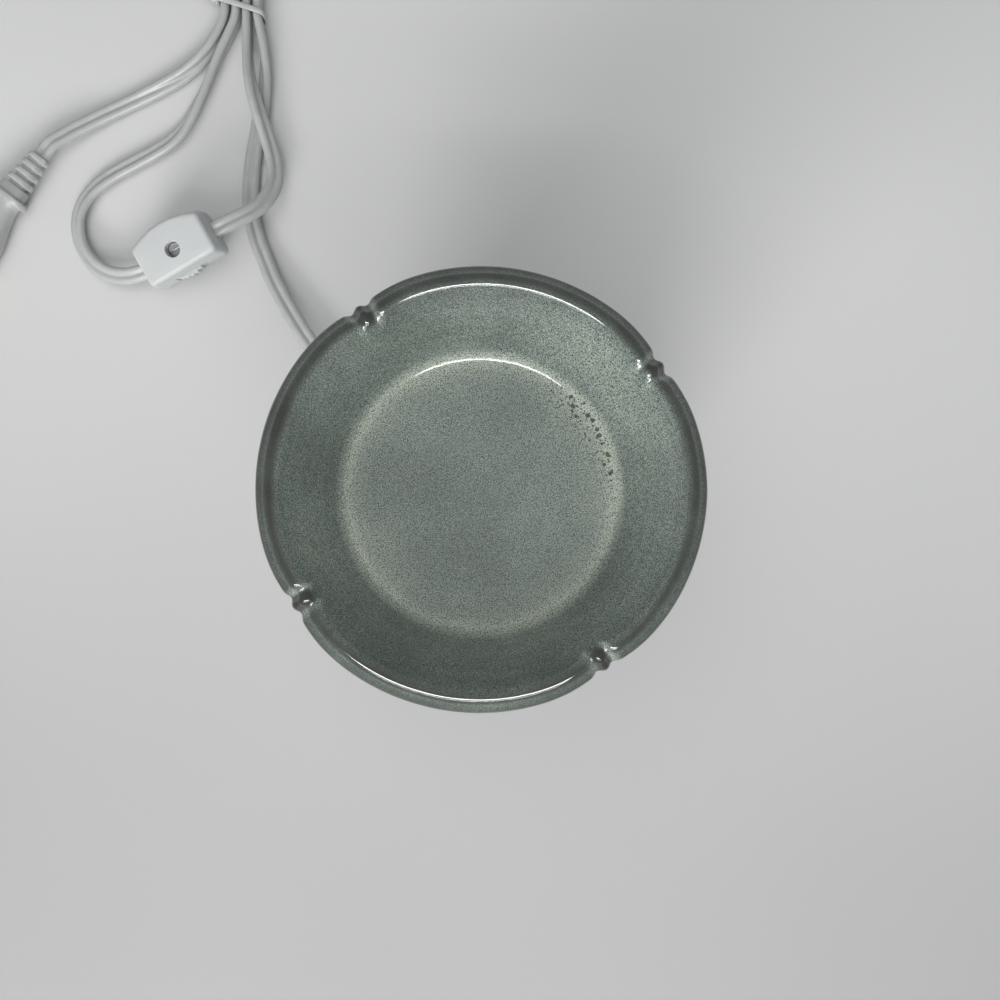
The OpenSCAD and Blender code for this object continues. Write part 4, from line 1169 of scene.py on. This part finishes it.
@dataclass
class Relief:
    """The ribbed strain relief that the lead leaves the shell through."""

    shop: Workshop
    finish: Finish
    angle: float = 138.0
    height: float = 7.0
    inner: float = 40.89
    outer: float = 48.566
    flange_d: float = 13.0
    flange_t: float = 2.0
    tail: float = 24.0
    neck_d: float = 9.8

    def build(self) -> None:
        """Mould the relief along its axis."""
        big = self.flange_d / 2
        marks = [(self.inner - self.flange_t, 3.0), (self.inner - self.flange_t, big - 0.3), (self.inner - self.flange_t + 0.3, big)]
        marks += [(self.inner, big), (self.inner, self.neck_d / 2), (self.outer, self.neck_d / 2), (self.outer, big)]
        start = self.outer + self.flange_t
        marks += [(start - 0.5, big), (start, big - 0.5), (start, 5.2)]
        for i in range(1, 5):
            at = start + self.tail / 6 * i
            r = 5.2 - 1.1 * i / 6
            marks += [(at - 0.2, r), (at, r - 0.2), (at + 0.05, 3.8), (at + 1.35, 3.8), (at + 1.4, r - 0.2), (at + 1.6, r)]
        end = start + self.tail
        marks += [(end - 0.4, 4.1), (end, 3.7)]
        bm = loft([circle(r, 48, x) for x, r in marks])
        turn = Matrix.Translation((0.0, 0.0, self.height)) @ Matrix.Rotation(math.radians(self.angle), 4, "Z")
        bmesh.ops.transform(bm, matrix=turn, verts=bm.verts)
        obj = self.shop.piece("moulded_relief", bm, self.finish, Body.BASE, ("strain_relief",))
        hard_edges(obj, 50.0)


@dataclass
class Shell:
    """The stoneware shell under the dish, and its pads."""

    shop: Workshop
    glaze: Glaze

    def build(self) -> None:
        """Dress the shell's solids."""
        self.shop.dress_node("body_shell", self.glaze.make(False))
        self.shop.dress_node("foot_pads", self.shop.material(Finish("pad_felt", (0.55, 0.53, 0.48), 0.8)))


@dataclass
class Tie:
    """The twist tie round the four strands: a slanting loop, its twisted ends and a loose tail."""

    shop: Workshop
    finish: Finish
    left: float = -109.6
    right: float = -90.6
    top: float = 8.7
    left_y: float = 212.0
    right_y: float = 206.0
    width: float = 2.4
    thick: float = 0.7

    def strip(self, path: list[Vector], across: Vector) -> bmesh.types.BMesh:
        """Sweep the strip's oval section along a path.

        Args:
            path: Points of the centre line.
            across: Direction of the strip's width.
        """
        rings = []
        for i, place in enumerate(path):
            ahead = (path[min(i + 1, len(path) - 1)] - path[max(i - 1, 0)]).normalized()
            wide = (across - ahead * across.dot(ahead)).normalized() * self.width / 2
            flat = ahead.cross(wide).normalized() * self.thick / 2
            turns = [2 * math.pi * k / 12 for k in range(12)]
            rings.append([place + wide * math.cos(a) + flat * math.sin(a) for a in turns])
        return loft(rings)

    def loop(self) -> list[Vector]:
        """Centre line of the loop, a rounded box that slants across the strands."""
        middle, half = (self.left + self.right) / 2, (self.right - self.left) / 2
        low, r = self.thick / 2 + 0.1, 2.2
        points = []
        for cx, cz, start in ((half - r, low + r, -90), (half - r, self.top - r, 0), (r - half, self.top - r, 90), (r - half, low + r, 180)):
            for i in range(9):
                a = math.radians(start + 11.25 * i)
                x = middle + cx + r * math.cos(a)
                slant = self.left_y + (self.right_y - self.left_y) * (x - self.left) / (self.right - self.left)
                points.append(Vector((x, slant, cz + r * math.sin(a))))
        return points + points[:1]

    def build(self) -> None:
        """Bend the tie and twist its ends."""
        along = Vector((0.0, 1.0, 0.0))
        bm = self.strip(self.loop(), along)
        root = Vector((self.left - 0.2, self.left_y, 5.2))
        lean = Vector((-0.80, 0.52, 0.02)).normalized()
        beside = lean.cross(Vector((0.0, 0.0, 1.0))).normalized()
        for side in (1, -1):
            path = []
            for i in range(33):
                t = i / 32
                a = math.radians(540 * t) + (0.0 if side > 0 else math.pi)
                r = 0.75 + (1.1 * (t - 0.75) / 0.25 if t > 0.75 else 0.0)
                path.append(root + lean * 8.0 * t + (beside * math.cos(a) + Vector((0.0, 0.0, 1.0)) * math.sin(a)) * r)
            part = self.strip(path, Vector((0.25, 0.6, 0.75)))
            mesh = bpy.data.meshes.new("tail")
            part.to_mesh(mesh)
            part.free()
            bm.from_mesh(mesh)
            bpy.data.meshes.remove(mesh)
        self.shop.piece("twist_tie", bm, self.finish, Body.BASE, ("bundle_tie",))


class Fittings:
    """The small solids inside and under the shell, in the switch and on the plug."""

    def __init__(self, shop: Workshop, vinyl: Finish, tie: Finish) -> None:
        """Choose each node's finish.

        Args:
            shop: Where materials are made.
            vinyl: The lead's finish.
            tie: The finish of the ties.
        """
        brass = Finish("brass", (0.66, 0.49, 0.22), 0.3, metal=1.0, bump_depth=0.00001)
        steel = Finish("zinc_steel", (0.60, 0.60, 0.58), 0.36, metal=1.0, bump_depth=0.00001)
        self.shop = shop
        self.finishes: dict[Finish | Glass, tuple[str, ...]] = {
            brass: ("screw_shell", "centre_contact", "switch_contacts", "blade_wide", "blade_narrow"),
            steel: ("threaded_nipple", "lock_nut", "clamp_washer", "switch_nut"),
            Finish("socket_phenolic", (0.74, 0.72, 0.64), 0.38): ("socket_body",),
            Finish("copper", (0.70, 0.32, 0.18), 0.35, metal=1.0): ("socket_wires",),
            Finish("cushion_rubber", (0.03, 0.03, 0.03), 0.75): ("cushion_washer",),
            Finish("nickel", (0.62, 0.59, 0.53), 0.25, metal=1.0): ("bulb_cap",),
            Finish("black_glass", (0.015, 0.015, 0.02), 0.12, coat=0.5): ("bulb_insulator",),
            Finish("solder", (0.50, 0.50, 0.49), 0.4, metal=1.0): ("bulb_tip",),
            Finish("tungsten", (0.22, 0.22, 0.23), 0.4, metal=1.0): ("bulb_filament",),
            Finish("dark_steel", (0.34, 0.34, 0.35), 0.42, metal=1.0): ("switch_screw",),
            Glass("bulb_glass", (0.97, 0.98, 0.985)): ("bulb_glass",),
            Glass("clear_glass", (0.93, 0.96, 0.95)): ("bulb_stem",),
            vinyl: ("inner_lead",),
            tie: ("coil_tie",),
        }

    def build(self) -> None:
        """Dress every solid that keeps its own mesh."""
        for finish, nodes in self.finishes.items():
            for node in nodes:
                self.shop.dress_node(node, self.shop.material(finish))


def main() -> None:
    """Build the warmer and its studio."""
    logging.basicConfig(level=logging.INFO, format="%(name)s: %(message)s")
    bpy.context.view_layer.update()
    shop = Workshop()
    vinyl = Finish("white_vinyl", (0.385, 0.397, 0.388), 0.40, vary=0.03, subsurface=0.1)
    plastic = Finish("white_plastic", (0.45, 0.468, 0.465), 0.50, vary=0.012, scale=120.0, subsurface=0.1, bump_depth=0.000004)
    tie = Finish("tie_plastic", (0.43, 0.44, 0.435), 0.42)
    Camera().build()
    switch_place = SwitchPlace()
    plug_place = PlugPlace()
    switch_pieces = Switch(shop, plastic, switch_place).build()
    switch_pieces += [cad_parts[n] for n in ("switch_screw", "switch_nut", "switch_contacts")]
    plug_pieces = [Plug(shop, vinyl, plug_place).build()] + [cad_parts[n] for n in ("blade_wide", "blade_narrow")]
    Lead(shop, vinyl, switch_place, plug_place).build(switch_pieces, plug_pieces)
    Relief(shop, vinyl).build()
    glaze = Glaze()
    Dish(shop, glaze).build()
    Shell(shop, glaze).build()
    Tie(shop, tie).build()
    Fittings(shop, vinyl, tie).build()
    Studio().build()


if __name__ == "__main__":
    main()
